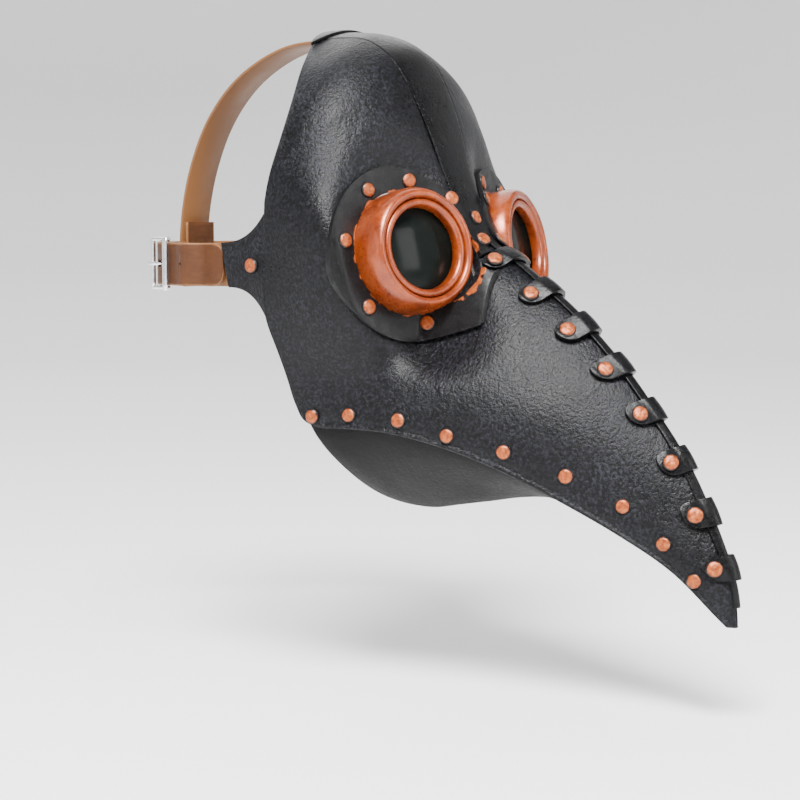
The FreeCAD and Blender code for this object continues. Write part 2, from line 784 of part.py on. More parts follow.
def right_strap():
    """Short strap from the right lug: over the heel bar, round it and back."""
    out_points = [girth(a, 0.0) for a in (-25, -16, -7, 0)]
    out_points += [at_buckle(-24, OUTER_PLY - 1.55), at_buckle(-16, OUTER_PLY - 0.75), at_buckle(-8, OUTER_PLY - 0.15)]
    outer = ribbon(out_points + [at_buckle(0, OUTER_PLY)], STRAP, WIDTH, LEVEL - WIDTH / 2, "Z")
    back = [at_buckle(u, INNER_PLY - 0.0016 * u * u) for u in (-22, -15, -8, 0)]
    inner = ribbon(back, STRAP, WIDTH, LEVEL - WIDTH / 2, "Z")
    bend = Part.makeCylinder(FOLD + STRAP, WIDTH, HEEL - V(0, 0, WIDTH / 2), V(0, 0, 1))
    bend = bend.cut(Part.makeCylinder(FOLD, WIDTH, HEEL - V(0, 0, WIDTH / 2), V(0, 0, 1)))
    bend = bend.common(slot_box(-0.3, 6, -4, 12, WIDTH / 2))
    strap = outer.fuse([bend, inner])
    return strap.cut(slot_box(-4.6, 6.0, -4, 12, 2.6)).removeSplitter()


def long_strap():
    """Long strap from the left lug, round the back of the head, through the
    buckle; its free end lies over the short strap."""
    lug_end = [V(-p.x, p.y, 0) for p in (girth(a, 0.0) for a in (-25, -16, -8, 0, 14, 30, 46, 62, 78))]
    back = [girth(a, 0.0) for a in (90, 78, 66, 56)]
    climb = [at_buckle(15, 0.9), at_buckle(9, 2.9), at_buckle(4, OUTER_PLY + STRAP - 0.15)]
    top = OUTER_PLY + STRAP + 0.25
    over = [at_buckle(-4, top), at_buckle(-11, top - 0.2), at_buckle(-19, top - 0.9), at_buckle(-28, top - 2.0)]
    tail = [girth(6, STRAP + 0.5), girth(-1, STRAP + 0.3), girth(-4.2, STRAP + 0.3)]
    points = lug_end + back + climb + over + tail
    points.reverse()
    strap = ribbon(points, STRAP, WIDTH, LEVEL - WIDTH / 2, "Z")
    corner = dim("strap_width") * 0.33
    end = points[0]
    for up in (-1, 1):
        block = Part.makeBox(6, corner, corner)
        block.translate(V(end.x - 3, end.y, LEVEL + up * WIDTH / 2 - (corner if up > 0 else 0)))
        pin_at = V(end.x - 4, end.y + corner, LEVEL + up * (WIDTH / 2 - corner))
        strap = strap.cut(block.cut(Part.makeCylinder(corner, 8, pin_at, V(1, 0, 0))))
    strap = strap.cut(slot_box(-3.4, 6.6, OUTER_PLY + STRAP - 2.5, 12, 1.7))
    hole = at_buckle(-25, -2) + V(0, 0, LEVEL)
    return strap.cut(Part.makeCylinder(1.1, 16, hole, OUT)).removeSplitter()


feature("side_strap_right", right_strap())
feature("side_strap_left", long_strap())


def top_strap():
    """From under the crown, over the head and down to a loop round the side
    strap at the back."""
    half_length = dim("head_half_length")
    arc = [
        V(0, -36, 114.6), V(0, -22, 116.9), V(0, -6, 117.4), V(0, 10, 115.9), V(0, 30, 109.5),
        V(0, 50, 98.0), V(0, 68, 79.5), V(0, 81, 55.0), V(0, half_length + 0.3, 28.0),
        V(0, half_length + STRAP + 0.3, 12.0), V(0, half_length + STRAP + 0.3, LEVEL),
        V(0, half_length + STRAP + 0.3, LEVEL - WIDTH / 2),
    ]
    arc.reverse()
    outer = ribbon(arc, STRAP, WIDTH, -WIDTH / 2, "X")
    inner_face = half_length - 1.3
    gap = half_length + STRAP + 0.3 - inner_face
    low = LEVEL - WIDTH / 2 - 0.3
    turn_at = V(-WIDTH / 2, inner_face + gap / 2, low)
    bend = Part.makeCylinder(gap / 2 + STRAP, WIDTH, turn_at, V(1, 0, 0))
    bend = bend.cut(Part.makeCylinder(gap / 2, WIDTH, turn_at, V(1, 0, 0)))
    keep = Part.makeBox(WIDTH, 14, 6, V(-WIDTH / 2, half_length - 6, low - 6))
    inner = Part.makeBox(WIDTH, STRAP, 33.0, V(-WIDTH / 2, inner_face - STRAP, low))
    link = Part.makeBox(WIDTH, STRAP, 0.5, V(-WIDTH / 2, inner_face + gap, low))
    return outer.fuse([bend.common(keep), inner, link]).removeSplitter()


feature("top_strap", top_strap())
strap_at = V(82.5, -28.0, LEVEL)
rivets(
    "strap_rivets",
    [(V(s * (strap_at.x + 0.3), strap_at.y, LEVEL), V(s, 0, 0), dim("strap_rivet"), 6.4) for s in (1, -1)],
)

# -------------------------------------------------------------------- buckle


def buckle_frame():
    """Three bars joined by two bent rails: the keeper bar in front, the heel
    bar inside the short strap's fold, and the toe bar behind."""
    high = WIDTH / 2 + dim("rail_gap")
    rail = dim("rail_thick")
    spots = [
        (-dim("keeper_back"), dim("keeper_rise")),
        (0.0, dim("heel_rise")),
        (dim("toe_ahead"), dim("toe_rise")),
    ]
    pieces = []
    for u, rise in spots:
        foot = at_buckle(u, rise) + V(0, 0, LEVEL - high - rail)
        pieces.append(Part.makeCylinder(BAR, 2 * (high + rail), foot, V(0, 0, 1)))
    for up in (-1, 1):
        low = LEVEL + (high if up > 0 else -high - rail)
        for (u0, r0), (u1, r1) in zip(spots, spots[1:]):
            a, b = at_buckle(u0, r0), at_buckle(u1, r1)
            run = b - a
            side = V(0, 0, 1).cross(run)
            side.normalize()
            side = side * BAR
            plate = Part.Face(Part.makePolygon([a + side, b + side, b - side, a - side, a + side]))
            plate = plate.extrude(V(0, 0, rail))
            plate.translate(V(0, 0, low))
            pieces.append(plate)
    return pieces[0].fuse(pieces[1:]).removeSplitter()


def buckle_prong():
    """A hub round the heel bar and a bent pin that rests on the toe bar."""
    hub_foot = HEEL - V(0, 0, 1.3)
    hub = Part.makeCylinder(dim("prong_hub"), 2.6, hub_foot, V(0, 0, 1))
    hub = hub.cut(Part.makeCylinder(BAR + dim("prong_clearance"), 2.6, hub_foot, V(0, 0, 1)))
    pin = dim("prong_radius")
    rest = dim("toe_rise") + BAR + pin + 0.15
    route = [(1.0, dim("heel_rise") + 2.6), (4.0, rest + 1.5), (9.5, rest + 1.3), (dim("toe_ahead") + 1.6, rest)]
    points = [at_buckle(u, rise) + V(0, 0, LEVEL) for u, rise in route]
    pieces = []
    for a, b in zip(points, points[1:]):
        pieces.append(Part.makeCylinder(pin, (b - a).Length, a, b - a))
    pieces += [Part.makeSphere(pin, p) for p in points]
    shaft = pieces[0].fuse(pieces[1:])
    shaft = shaft.cut(Part.makeCylinder(BAR + dim("prong_clearance"), 8, HEEL - V(0, 0, 4), V(0, 0, 1)))
    return hub.fuse(shaft).removeSplitter()


feature("buckle_frame", buckle_frame())
feature("buckle_prong", buckle_prong())

# ------------------------------------------------------------ check and write

doc.recompute()
for item in doc.Objects:
    if "Invalid" in item.State or "Error" in item.State:
        raise RuntimeError(f"{item.Label} failed: {item.State}")
for node in NODES:
    if node.Shape.isNull() or not node.Shape.isValid():
        raise RuntimeError(f"{node.Label} has no valid shape")
os.makedirs("parts", exist_ok=True)
for node in NODES:
    node.Shape.exportStep(f"parts/{node.Label}.step")
    box = node.Shape.BoundBox
    print(
        f"{node.Label:22s} solids {len(node.Shape.Solids)} volume {node.Shape.Volume:9.1f}"
        f" x {box.XMin:7.1f} {box.XMax:7.1f} y {box.YMin:7.1f} {box.YMax:7.1f} z {box.ZMin:7.1f} {box.ZMax:7.1f}"
    )
print("heel bar at", HEEL, "along", ALONG, "out", OUT)
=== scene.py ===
import math

import bmesh
import bpy
import numpy as np
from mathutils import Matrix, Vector


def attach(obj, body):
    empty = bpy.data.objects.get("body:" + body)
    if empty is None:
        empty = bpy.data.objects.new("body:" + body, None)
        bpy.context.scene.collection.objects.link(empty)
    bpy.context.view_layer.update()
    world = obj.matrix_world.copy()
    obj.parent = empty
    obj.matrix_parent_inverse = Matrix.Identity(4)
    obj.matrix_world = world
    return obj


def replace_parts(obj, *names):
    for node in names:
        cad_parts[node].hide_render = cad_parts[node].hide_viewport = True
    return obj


# Plague doctor mask: the leather, goggles, rivets and harness that are shown.
# Lengths here are millimetres in the frame of the part and become metres as
# each mesh is made.

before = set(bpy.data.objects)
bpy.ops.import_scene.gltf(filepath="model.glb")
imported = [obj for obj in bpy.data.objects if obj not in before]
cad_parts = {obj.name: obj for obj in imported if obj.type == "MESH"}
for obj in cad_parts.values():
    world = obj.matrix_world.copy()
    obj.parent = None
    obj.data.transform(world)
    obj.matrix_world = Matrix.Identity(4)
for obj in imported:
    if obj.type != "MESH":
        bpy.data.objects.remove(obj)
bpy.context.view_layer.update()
MM = 0.001
WELD = 0.00001
rng = np.random.default_rng(11)

# ------------------------------------------------------------ the mask's form

# The front line in the middle plane, (y, z) from the crown to the beak's tip at
# even steps of t, which is 0 at the crown and 1 at the tip.
FRONT = [
    (-13.0, 122.5), (-32.0, 122.5), (-51.0, 119.0), (-67.0, 107.5),
    (-78.5, 89.0), (-87.0, 70.5), (-94.5, 52.5), (-101.5, 36.0),
    (-108.5, 21.5), (-118.0, 11.5), (-133.0, 2.5), (-149.5, -9.0),
    (-166.5, -21.5), (-183.0, -35.5), (-198.5, -51.0), (-213.0, -68.0),
    (-226.5, -86.0), (-238.5, -106.0), (-249.0, -127.0), (-256.5, -147.5),
    (-259.0, -166.0),
]
# The outer edge of the side panels: (t, x, y, z).
EDGE = [
    (0.000, 81.0, -34.0, 33.0), (0.110, 82.2, -33.5, 14.0),
    (0.220, 82.2, -34.0, -6.0), (0.330, 79.8, -36.5, -28.0),
    (0.380, 77.5, -40.5, -40.5), (0.430, 75.0, -44.5, -54.0),
    (0.475, 72.5, -48.0, -67.0), (0.505, 71.5, -52.5, -74.5),
    (0.530, 70.0, -59.0, -77.5), (0.580, 66.5, -76.5, -78.0),
    (0.640, 61.0, -102.0, -80.0), (0.700, 53.0, -127.5, -86.0),
    (0.760, 43.0, -154.0, -96.5), (0.820, 32.0, -180.0, -110.0),
    (0.880, 21.5, -206.0, -124.5), (0.940, 12.0, -231.0, -141.5),
    (1.000, 3.4, -255.0, -165.5),
]
# The lowest line of the under panel: (t, y, z).
KEEL = [
    (0.505, -74.0, -124.0), (0.530, -82.0, -124.0), (0.580, -97.0, -121.5),
    (0.640, -116.0, -118.0), (0.700, -136.0, -114.5), (0.760, -158.0, -113.5),
    (0.820, -181.0, -116.5), (0.880, -206.5, -124.0), (0.940, -230.5, -140.0),
    (1.000, -251.0, -163.5),
]
# How square the sections are: (t, exponent of the curve).
FULLNESS = [
    (0.00, 1.75), (0.05, 1.9), (0.10, 2.05), (0.20, 2.25), (0.30, 2.15),
    (0.40, 1.9), (0.45, 1.7), (0.55, 1.45), (0.70, 1.32), (0.90, 1.3),
    (1.00, 1.6),
]
# How far the forehead's sections bow out: (t, distance).
BOW = [(0.0, 17.0), (0.05, 12.0), (0.10, 8.0), (0.15, 5.0), (0.20, 2.0), (0.25, 0.0)]
FRONT_LINE = [(i / (len(FRONT) - 1), y, z) for i, (y, z) in enumerate(FRONT)]
# Where the jaw, the tongue's tip and the tongue's shoulder are along the front
# line, and how far the side panels lap over the under panel.
JAW, TONGUE, TONGUE_START, LAP = 0.505, 0.425, 0.34, 13.0
THICK, GAP, LAP_GAP = 2.4, 0.25, 0.45
FLANGE_RADIUS, FLANGE_THICK, FLANGE_SHIFT = 44.5, 2.2, 7.5
BORE = 31.15
FOREHEAD_HALF, BRIDGE_HALF = 23.0, 11.0
HEM_THICK, HEM_LENGTH, HEM_HALF, HEM_END = 1.3, 13.0, 33.0, 0.96
SPINE_THICK, SPINE_HALF = 1.4, 2.9
# Front line for each unit of t.
FRONT_LENGTH = 380.0
TAB_COUNT, TAB_FIRST, TAB_PITCH, TAB_WIDTH, TAB_REACH, TAB_THICK = 8, 18.5, 27.9, 12.5, 17.5, 2.0
TAB_MARGIN = 1.2


def smooth(low, high, value):
    f = np.clip((np.asarray(value, float) - low) / (high - low), 0.0, 1.0)
    return f * f * (3.0 - 2.0 * f)


def along(table, column, t):
    """One column of a table whose first column is t, as a smooth curve."""
    rows = np.array(table, float)
    x, y = rows[:, 0], rows[:, column]
    step, rise = np.diff(x), np.diff(y) / np.diff(x)
    slope = np.empty(len(x))
    slope[1:-1] = (rise[:-1] * step[1:] + rise[1:] * step[:-1]) / (step[:-1] + step[1:])
    slope[0], slope[-1] = rise[0], rise[-1]
    t = np.clip(np.asarray(t, float), x[0], x[-1])
    i = np.clip(np.searchsorted(x, t, side="right") - 1, 0, len(x) - 2)
    f = (t - x[i]) / step[i]
    start = (1 + 2 * f) * (1 - f) ** 2 * y[i] + f * (1 - f) ** 2 * step[i] * slope[i]
    return start + f * f * (3 - 2 * f) * y[i + 1] + f * f * (f - 1) * step[i] * slope[i + 1]


# Where the left goggle is, which way it faces, and the way out from the nose.
YAW, PITCH = math.radians(14.5), math.radians(10.0)
CENTRE = np.array([38.8, -89.3, 7.85])
AXIS = np.array([
    math.sin(YAW) * math.cos(PITCH), -math.cos(YAW) * math.cos(PITCH), math.sin(PITCH),
])
OUTWARD = np.array([math.cos(YAW), math.sin(YAW), 0.0])


def skin(t, v):
    """Outer face of the leather: v is 0 on the centre line and 1 on the edge
    of the left side panel, -1 on that of the right one."""
    t, v = np.broadcast_arrays(np.asarray(t, float), np.asarray(v, float))
    y0, z0 = along(FRONT_LINE, 1, t), along(FRONT_LINE, 2, t)
    x1, y1, z1 = along(EDGE, 1, t), along(EDGE, 2, t), along(EDGE, 3, t)
    power = 2.0 / along(FULLNESS, 1, t)
    turn = np.minimum(np.abs(v), 1.0) * math.pi / 2
    back = 1.0 - np.maximum(np.cos(turn), 0.0) ** power
    out = np.sin(turn) ** power
    chord = np.hypot(y1 - y0, z1 - z0)
    bow = along(BOW, 1, t) * np.sin(math.pi * np.minimum(back, 1.0) ** 0.8) / chord
    y = y0 + (y1 - y0) * back + (z1 - z0) * bow
    z = z0 + (z1 - z0) * back - (y1 - y0) * bow
    point = np.stack([x1 * out, y, z], -1)
    away = point - CENTRE
    height = away @ AXIS
    radius = np.sqrt(np.maximum((away ** 2).sum(-1) - height ** 2, 0.0))
    weight = 1.0 - smooth(0.92 * FLANGE_RADIUS, 1.6 * FLANGE_RADIUS, radius)
    weight = weight * (1.0 - smooth(4.0, 32.0, -(away @ OUTWARD)))
    weight = weight * (1.0 - smooth(16.0, 46.0, np.abs(height)))
    point = point - AXIS * (height * weight)[..., None]
    point[..., 0] = np.copysign(point[..., 0], v)
    return point


def v_at(t, across):
    """The v where the section at t is this far from the centre plane."""
    low, high = np.zeros(np.shape(t)), np.ones(np.shape(t))
    for _ in range(30):
        middle = (low + high) / 2
        under = skin(t, middle)[..., 0] < across
        low, high = np.where(under, middle, low), np.where(under, high, middle)
    return high


def unit(vectors):
    return vectors / np.maximum(np.linalg.norm(vectors, axis=-1, keepdims=True), 1e-9)


def normal(t, v):
    t0, t1 = np.maximum(t - 0.003, 0.0), np.minimum(t + 0.003, 1.0)
    v0, v1 = np.maximum(v - 0.012, -1.0), np.minimum(v + 0.012, 1.0)
    return unit(np.cross(skin(t1, v) - skin(t0, v), skin(t, v1) - skin(t, v0)))


def grid_normals(grid):
    padded = np.pad(grid, ((1, 1), (1, 1), (0, 0)), mode="edge")
    down = padded[2:, 1:-1] - padded[:-2, 1:-1]
    over = padded[1:-1, 2:] - padded[1:-1, :-2]
    return unit(np.cross(down, over))


def offset(grid, distance):
    distance = np.broadcast_to(np.asarray(distance, float), grid.shape[:2])
    return grid + grid_normals(grid) * distance[..., None]


def evenly(line, count):
    """A polyline with count equal runs."""
    lengths = np.concatenate([[0.0], np.cumsum(np.linalg.norm(np.diff(line, axis=0), axis=1))])
    want = np.linspace(0.0, lengths[-1], count + 1)
    return np.stack([np.interp(want, lengths, line[:, k]) for k in range(3)], -1)


# The hand-made unevenness of the leather: one slow field that everything laid
# on the panels shares, so that the layers stay together.
WAVES = [
    (rng.normal(size=3) / length, rng.normal(size=3) * size, rng.uniform(0, 2 * math.pi))
    for length, size in [(16, 0.16)] * 5 + [(9, 0.07)] * 6
]


def uneven(points):
    moved = np.array(points, float)
    for wave, size, phase in WAVES:
        moved += np.sin(points @ wave + phase)[..., None] * size
    return moved


# -------------------------------------------------------------------- meshes


def bare(name, verts, faces, weld=False, layer=None):
    """An object from points in millimetres, with its faces turned outwards.
    layer is one value per point, under its name."""
    mesh = bpy.data.meshes.new(name)
    mesh.from_pydata([tuple(p) for p in np.asarray(verts) * MM], [], faces)
    obj = bpy.data.objects.new(name, mesh)
    bpy.context.scene.collection.objects.link(obj)
    if layer:
        attribute(obj, *layer)
    work = bmesh.new()
    work.from_mesh(mesh)
    if weld:
        bmesh.ops.remove_doubles(work, verts=work.verts, dist=WELD)
    bmesh.ops.recalc_face_normals(work, faces=work.faces)
    work.to_mesh(mesh)
    work.free()
    return obj


def dress(obj, material, body="mask"):
    obj.data.shade_smooth()
    obj.data.materials.append(material)
    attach(obj, body)
    return obj


def make(name, verts, faces, slot_name, material, body="mask"):
    return dress(bare(name, verts, faces, weld=True), material, body)


def soften(obj, width, segments=2, angle=38.0):
    bevel = obj.modifiers.new("worn_edges", "BEVEL")
    bevel.width = width * MM
    bevel.segments = segments
    bevel.limit_method = "ANGLE"
    bevel.angle_limit = math.radians(angle)
    bevel.harden_normals = False
    return obj


def shell(outer, inner):
    """Vertices and faces of a closed sheet from its outer and inner grids."""
    rows, columns = outer.shape[:2]
    verts = np.concatenate([outer.reshape(-1, 3), inner.reshape(-1, 3)])
    n = rows * columns
    faces = []
    for i in range(rows - 1):
        for j in range(columns - 1):
            a = i * columns + j
            quad = (a, a + columns, a + columns + 1, a + 1)
            faces.append(quad)
            faces.append(tuple(n + k for k in reversed(quad)))
    rim = [(0, j) for j in range(columns)] + [(i, columns - 1) for i in range(1, rows)]
    rim += [(rows - 1, j) for j in range(columns - 2, -1, -1)]
    rim += [(i, 0) for i in range(rows - 2, 0, -1)]
    ids = [i * columns + j for i, j in rim]
    for a, b in zip(ids, ids[1:] + ids[:1]):
        faces.append((a, b, n + b, n + a))
    return verts, faces


def flip(verts):
    return np.asarray(verts) * np.array([-1.0, 1.0, 1.0])


def joined(*parts):
    verts, faces, start = [], [], 0
    for points, polys in parts:
        verts.append(np.asarray(points))
        faces += [tuple(start + k for k in poly) for poly in polys]
        start += len(points)
    return np.concatenate(verts), faces


def cut(obj, verts, faces, operation="DIFFERENCE"):
    """Applies a boolean with a closed mesh and removes the tool."""
    tool = bare("tool", verts, faces)
    boolean = obj.modifiers.new("cut", "BOOLEAN")
    boolean.operation = operation
    boolean.solver = "EXACT"
    boolean.object = tool
    with bpy.context.temp_override(object=obj, active_object=obj):
        bpy.ops.object.modifier_apply(modifier=boolean.name)
    bpy.data.objects.remove(tool)
    obj.data.shade_smooth()


def basis(axis):
    """Two unit vectors across an axis."""
    axis = unit(np.asarray(axis, float))
    side = unit(np.cross(axis, [0.0, 0.0, 1.0] if abs(axis[2]) < 0.9 else [1.0, 0.0, 0.0]))
    return side, np.cross(axis, side)


def lathe(profile, base, axis, segments=96, closed=True, ripple=None):
    """A ring or disc from (radius, height) corners turned round an axis."""
    side, up = basis(axis)
    axis = unit(np.asarray(axis, float))
    angles = np.linspace(0, 2 * math.pi, segments, endpoint=False)
    verts = []
    for k, (radius, height) in enumerate(profile):
        for a in angles:
            r, h = radius, height
            if ripple is not None:
                dr, dh = ripple(k, a)
                r, h = r + dr, h + dh
            verts.append(base + axis * h + (side * math.cos(a) + up * math.sin(a)) * r)
    faces = []
    count = len(profile)
    for k in range(count if closed else count - 1):
        after = (k + 1) % count
        for s in range(segments):
            turn = (s + 1) % segments
            near, far = k * segments, after * segments
            faces.append((near + s, near + turn, far + turn, far + s))
    if not closed:
        faces.append(tuple(range(segments)))
        faces.append(tuple((count - 1) * segments + s for s in reversed(range(segments))))
    return np.array(verts), faces


def attribute(obj, name, values):
    layer = obj.data.attributes.new(name, "FLOAT", "POINT")
    layer.data.foreach_set("value", np.asarray(values, np.float32))


def places(obj):
    flat = np.empty(len(obj.data.vertices) * 3, np.float32)
    obj.data.vertices.foreach_get("co", flat)
    return flat.reshape(-1, 3) / MM


# ----------------------------------------------------------------- materials


class Nodes:
    """A short way to build a node material."""

    def __init__(self, name, **inputs):
        self.material = bpy.data.materials.new(name)
        self.material.use_nodes = True
        self.tree = self.material.node_tree
        self.shader = self.tree.nodes["Principled BSDF"]
        self.coords = self.add("ShaderNodeTexCoord").outputs["Object"]
        for key, value in inputs.items():
            self.shader.inputs[key.replace("_", " ")].default_value = value

    def add(self, kind, **settings):
        node = self.tree.nodes.new(kind)
        for key, value in settings.items():
            setattr(node, key, value)
        return node

    def link(self, source, target):
        self.tree.links.new(source, target)

    def noise(self, scale, detail=4.0, roughness=0.5, stretch=None):
        node = self.add("ShaderNodeTexNoise")
        node.inputs["Scale"].default_value = scale
        node.inputs["Detail"].default_value = detail
        node.inputs["Roughness"].default_value = roughness
        source = self.coords
        if stretch:
            mapping = self.add("ShaderNodeMapping")
            mapping.inputs["Scale"].default_value = stretch
            self.link(self.coords, mapping.inputs["Vector"])
            source = mapping.outputs["Vector"]
        self.link(source, node.inputs["Vector"])
        return node.outputs["Fac"]

    def attribute(self, name):
        return self.add("ShaderNodeAttribute", attribute_name=name).outputs["Fac"]

    def ramp(self, source, stops):
        """Colours or greys at positions along a value."""
        node = self.add("ShaderNodeValToRGB")
        elements = node.color_ramp.elements
        while len(elements) < len(stops):
            elements.new(0.5)
        for element, (position, colour) in zip(elements, stops):
            element.position = position
            if not isinstance(colour, tuple):
                colour = (colour, colour, colour)
            element.color = (*colour, 1.0)
        self.link(source, node.inputs["Fac"])
        return node.outputs["Color"]

    def mix(self, factor, a, b):
        node = self.add("ShaderNodeMix", data_type="RGBA")
        inputs = [s for s in node.inputs if s.enabled]
        for socket, value in zip(inputs, (factor, a, b)):
            if isinstance(value, (int, float)):
                socket.default_value = value
            elif isinstance(value, tuple):
                socket.default_value = (*value, 1.0)
            else:
                self.link(value, socket)
        return [s for s in node.outputs if s.enabled][0]

    def math(self, operation, a, b=0.0):
        node = self.add("ShaderNodeMath", operation=operation)
        for socket, value in zip(node.inputs, (a, b)):
            if isinstance(value, (int, float)):
                socket.default_value = value
            else:
                self.link(value, socket)
        return node.outputs[0]

    def bumps(self, *layers):
        """Chained bump nodes: (height, strength, distance in mm)."""
        last = None
        for height, strength, distance in layers:
            bump = self.add("ShaderNodeBump")
            bump.inputs["Strength"].default_value = strength
            bump.inputs["Distance"].default_value = distance * MM
            self.link(height, bump.inputs["Height"])
            if last is not None:
                self.link(last, bump.inputs["Normal"])
            last = bump.outputs["Normal"]
        self.link(last, self.shader.inputs["Normal"])

    def colour(self, source):
        self.link(source, self.shader.inputs["Base Color"])

    def roughness(self, source):
        self.link(source, self.shader.inputs["Roughness"])


def black_leather(name, grain, base, light, rough):
    """Black leather; grain is how coarse and strong its pebbling is and how much of the light colour shows
    on the pebble tops, where it is partly rubbed wear and partly painted sheen.
    """
    n = Nodes(name, Specular_IOR_Level=0.15)
    pebble = n.noise(620.0, 3.0, 0.62)
    fine = n.noise(1500.0, 2.0, 0.6)
    broad = n.noise(28.0, 4.0, 0.55)
    creases = n.noise(120.0, 5.0, 0.62, (1.0, 1.6, 0.7))
    # Lighter, bluish pebble tops: partly rubbed wear, partly painted sheen.
    worn_and_sheen = n.ramp(pebble, [(0.46, 0.0), (0.68, 1.0)])
    patch = n.ramp(broad, [(0.36, 0.0), (0.66, 1.0)])
    rub_and_sheen = n.math("MULTIPLY", worn_and_sheen, n.math("ADD", n.math("MULTIPLY", patch, 0.75), 0.25))
    n.colour(n.mix(n.math("MULTIPLY", rub_and_sheen, grain), base, light))
    gloss = n.math("ADD", n.math("MULTIPLY", pebble, 0.5), n.math("MULTIPLY", broad, 0.5))
    n.roughness(n.ramp(gloss, [(0.35, rough - 0.1), (0.65, rough + 0.1)]))
    n.bumps((creases, 0.4 * grain + 0.08, 1.0), (pebble, 0.8 * grain, 0.6), (fine, 0.4 * grain, 0.2))
    return n.material


def flange_leather():
    """Smooth black leather with copper paint run over it by the goggle."""
    n = Nodes("ring_leather", Specular_IOR_Level=0.17)
    near = n.attribute("from_ring")
    edge = n.noise(95.0, 3.0, 0.6)
    fine = n.noise(900.0, 3.0, 0.6)
    ragged = n.math("MULTIPLY", n.math("SUBTRACT", edge, 0.5), -7.0)
    reach = n.math("ADD", near, ragged)
    paint = n.ramp(n.math("MULTIPLY", reach, 0.1), [(0.0, 1.0), (0.04, 0.0)])
    copper = n.noise(160.0, 4.0, 0.6)
    copper = n.ramp(copper, [(0.3, (0.12, 0.022, 0.005)), (0.7, (0.34, 0.075, 0.016))])
    # Lighter, bluish specks on the black: partly wear, partly painted sheen.
    worn_and_sheen = n.ramp(fine, [(0.5, 0.0), (0.75, 1.0)])
    black = n.mix(worn_and_sheen, (0.003, 0.003, 0.0032), (0.010, 0.010, 0.012))
    n.colour(n.mix(paint, black, copper))
    n.roughness(n.ramp(n.noise(240.0), [(0.3, 0.3), (0.7, 0.48)]))
    n.bumps((edge, 0.2, 0.8), (fine, 0.2, 0.2))
    return n.material


def copper_ring():
    """Copper-orange lacquer, streaked along the ring, black where it wore."""
    n = Nodes("copper_ring", Metallic=0.4, Coat_Weight=0.2, Coat_Roughness=0.18)
    streak = n.noise(70.0, 5.0, 0.65)
    fine = n.noise(420.0, 4.0, 0.6)
    tone = n.ramp(streak, [
        (0.28, (0.10, 0.014, 0.002)), (0.5, (0.21, 0.032, 0.004)), (0.72, (0.32, 0.058, 0.009)),
    ])
    height = n.attribute("height")
    ragged = n.math("MULTIPLY", n.math("SUBTRACT", n.noise(110.0, 3.0), 0.5), 9.0)
    foot = n.math("MULTIPLY", n.math("ADD", height, ragged), 0.05)
    wear = n.ramp(foot, [(0.0, 1.0), (0.09, 0.0)])
    spots = n.ramp(n.noise(260.0, 3.0, 0.7), [(0.66, 0.0), (0.74, 0.8)])
    lower = n.ramp(n.math("MULTIPLY", height, 0.05), [(0.3, 1.0), (0.9, 0.15)])
    dark = n.math("MAXIMUM", wear, n.math("MULTIPLY", spots, lower))
    n.colour(n.mix(dark, tone, (0.022, 0.014, 0.012)))
    n.roughness(n.ramp(fine, [(0.3, 0.22), (0.7, 0.4)]))
    n.bumps((streak, 0.25, 0.8), (fine, 0.15, 0.25))
    return n.material


def copper_rivet():
    """Flat copper paint over a hammered head, with painted shade round the edge of the head and under it.
    """
    n = Nodes("copper_rivet", Metallic=0.35, Specular_IOR_Level=0.35)
    dents = n.noise(520.0, 3.0, 0.6)
    tone = n.ramp(dents, [
        (0.3, (0.15, 0.027, 0.005)), (0.55, (0.29, 0.062, 0.013)), (0.75, (0.44, 0.135, 0.04)),
    ])
    ragged = n.math("MULTIPLY", n.math("SUBTRACT", n.noise(700.0, 2.0), 0.5), 0.22)
    rim = n.math("ADD", n.attribute("rim"), ragged)
    # Painted shade: dark where rim is high, round the edge of the head and under it.
    n.colour(n.mix(n.ramp(rim, [(0.80, 0.0), (0.9, 1.0)]), tone, (0.014, 0.011, 0.011)))
    n.roughness(n.ramp(dents, [(0.3, 0.3), (0.7, 0.5)]))
    n.bumps((dents, 0.5, 0.4),)
    return n.material


def strap_leather():
    """Brown strap leather: darker face, lighter burnished cut edges."""
    n = Nodes("strap_leather", Specular_IOR_Level=0.22, Coat_Weight=0.04, Coat_Roughness=0.35)
    grain = n.noise(900.0, 3.0, 0.6)
    broad = n.noise(45.0, 4.0, 0.6)
    fibre = n.noise(240.0, 4.0, 0.6, (1.0, 1.0, 2.5))
    face = n.ramp(broad, [(0.3, (0.030, 0.0085, 0.0017)), (0.7, (0.066, 0.021, 0.0048))])
    face = n.mix(n.ramp(fibre, [(0.45, 0.0), (0.8, 0.5)]), face, (0.085, 0.032, 0.0095))
    ragged = n.math("MULTIPLY", n.math("SUBTRACT", fibre, 0.5), 0.12)
    edge = n.math("ADD", n.attribute("edge"), ragged)
    n.colour(n.mix(n.ramp(edge, [(0.90, 0.0), (0.97, 1.0)]), face, (0.15, 0.062, 0.021)))
    n.roughness(n.ramp(broad, [(0.3, 0.42), (0.7, 0.58)]))
    n.bumps((fibre, 0.2, 0.35), (grain, 0.35, 0.25))
    return n.material


def plain_gloss(name, colour, rough, scale, strength, **inputs):
    """A glossy surface with faint lighter specks."""
    n = Nodes(name, **inputs)
    speck = n.noise(scale, 4.0, 0.6)
    lighter = tuple(min(c * 1.9 + 0.004, 1.0) for c in colour)
    n.colour(n.ramp(speck, [(0.3, colour), (0.75, lighter)]))
    n.roughness(n.ramp(speck, [(0.3, rough), (0.7, rough + 0.12)]))
    n.bumps((speck, strength, 0.2),)
    return n.material


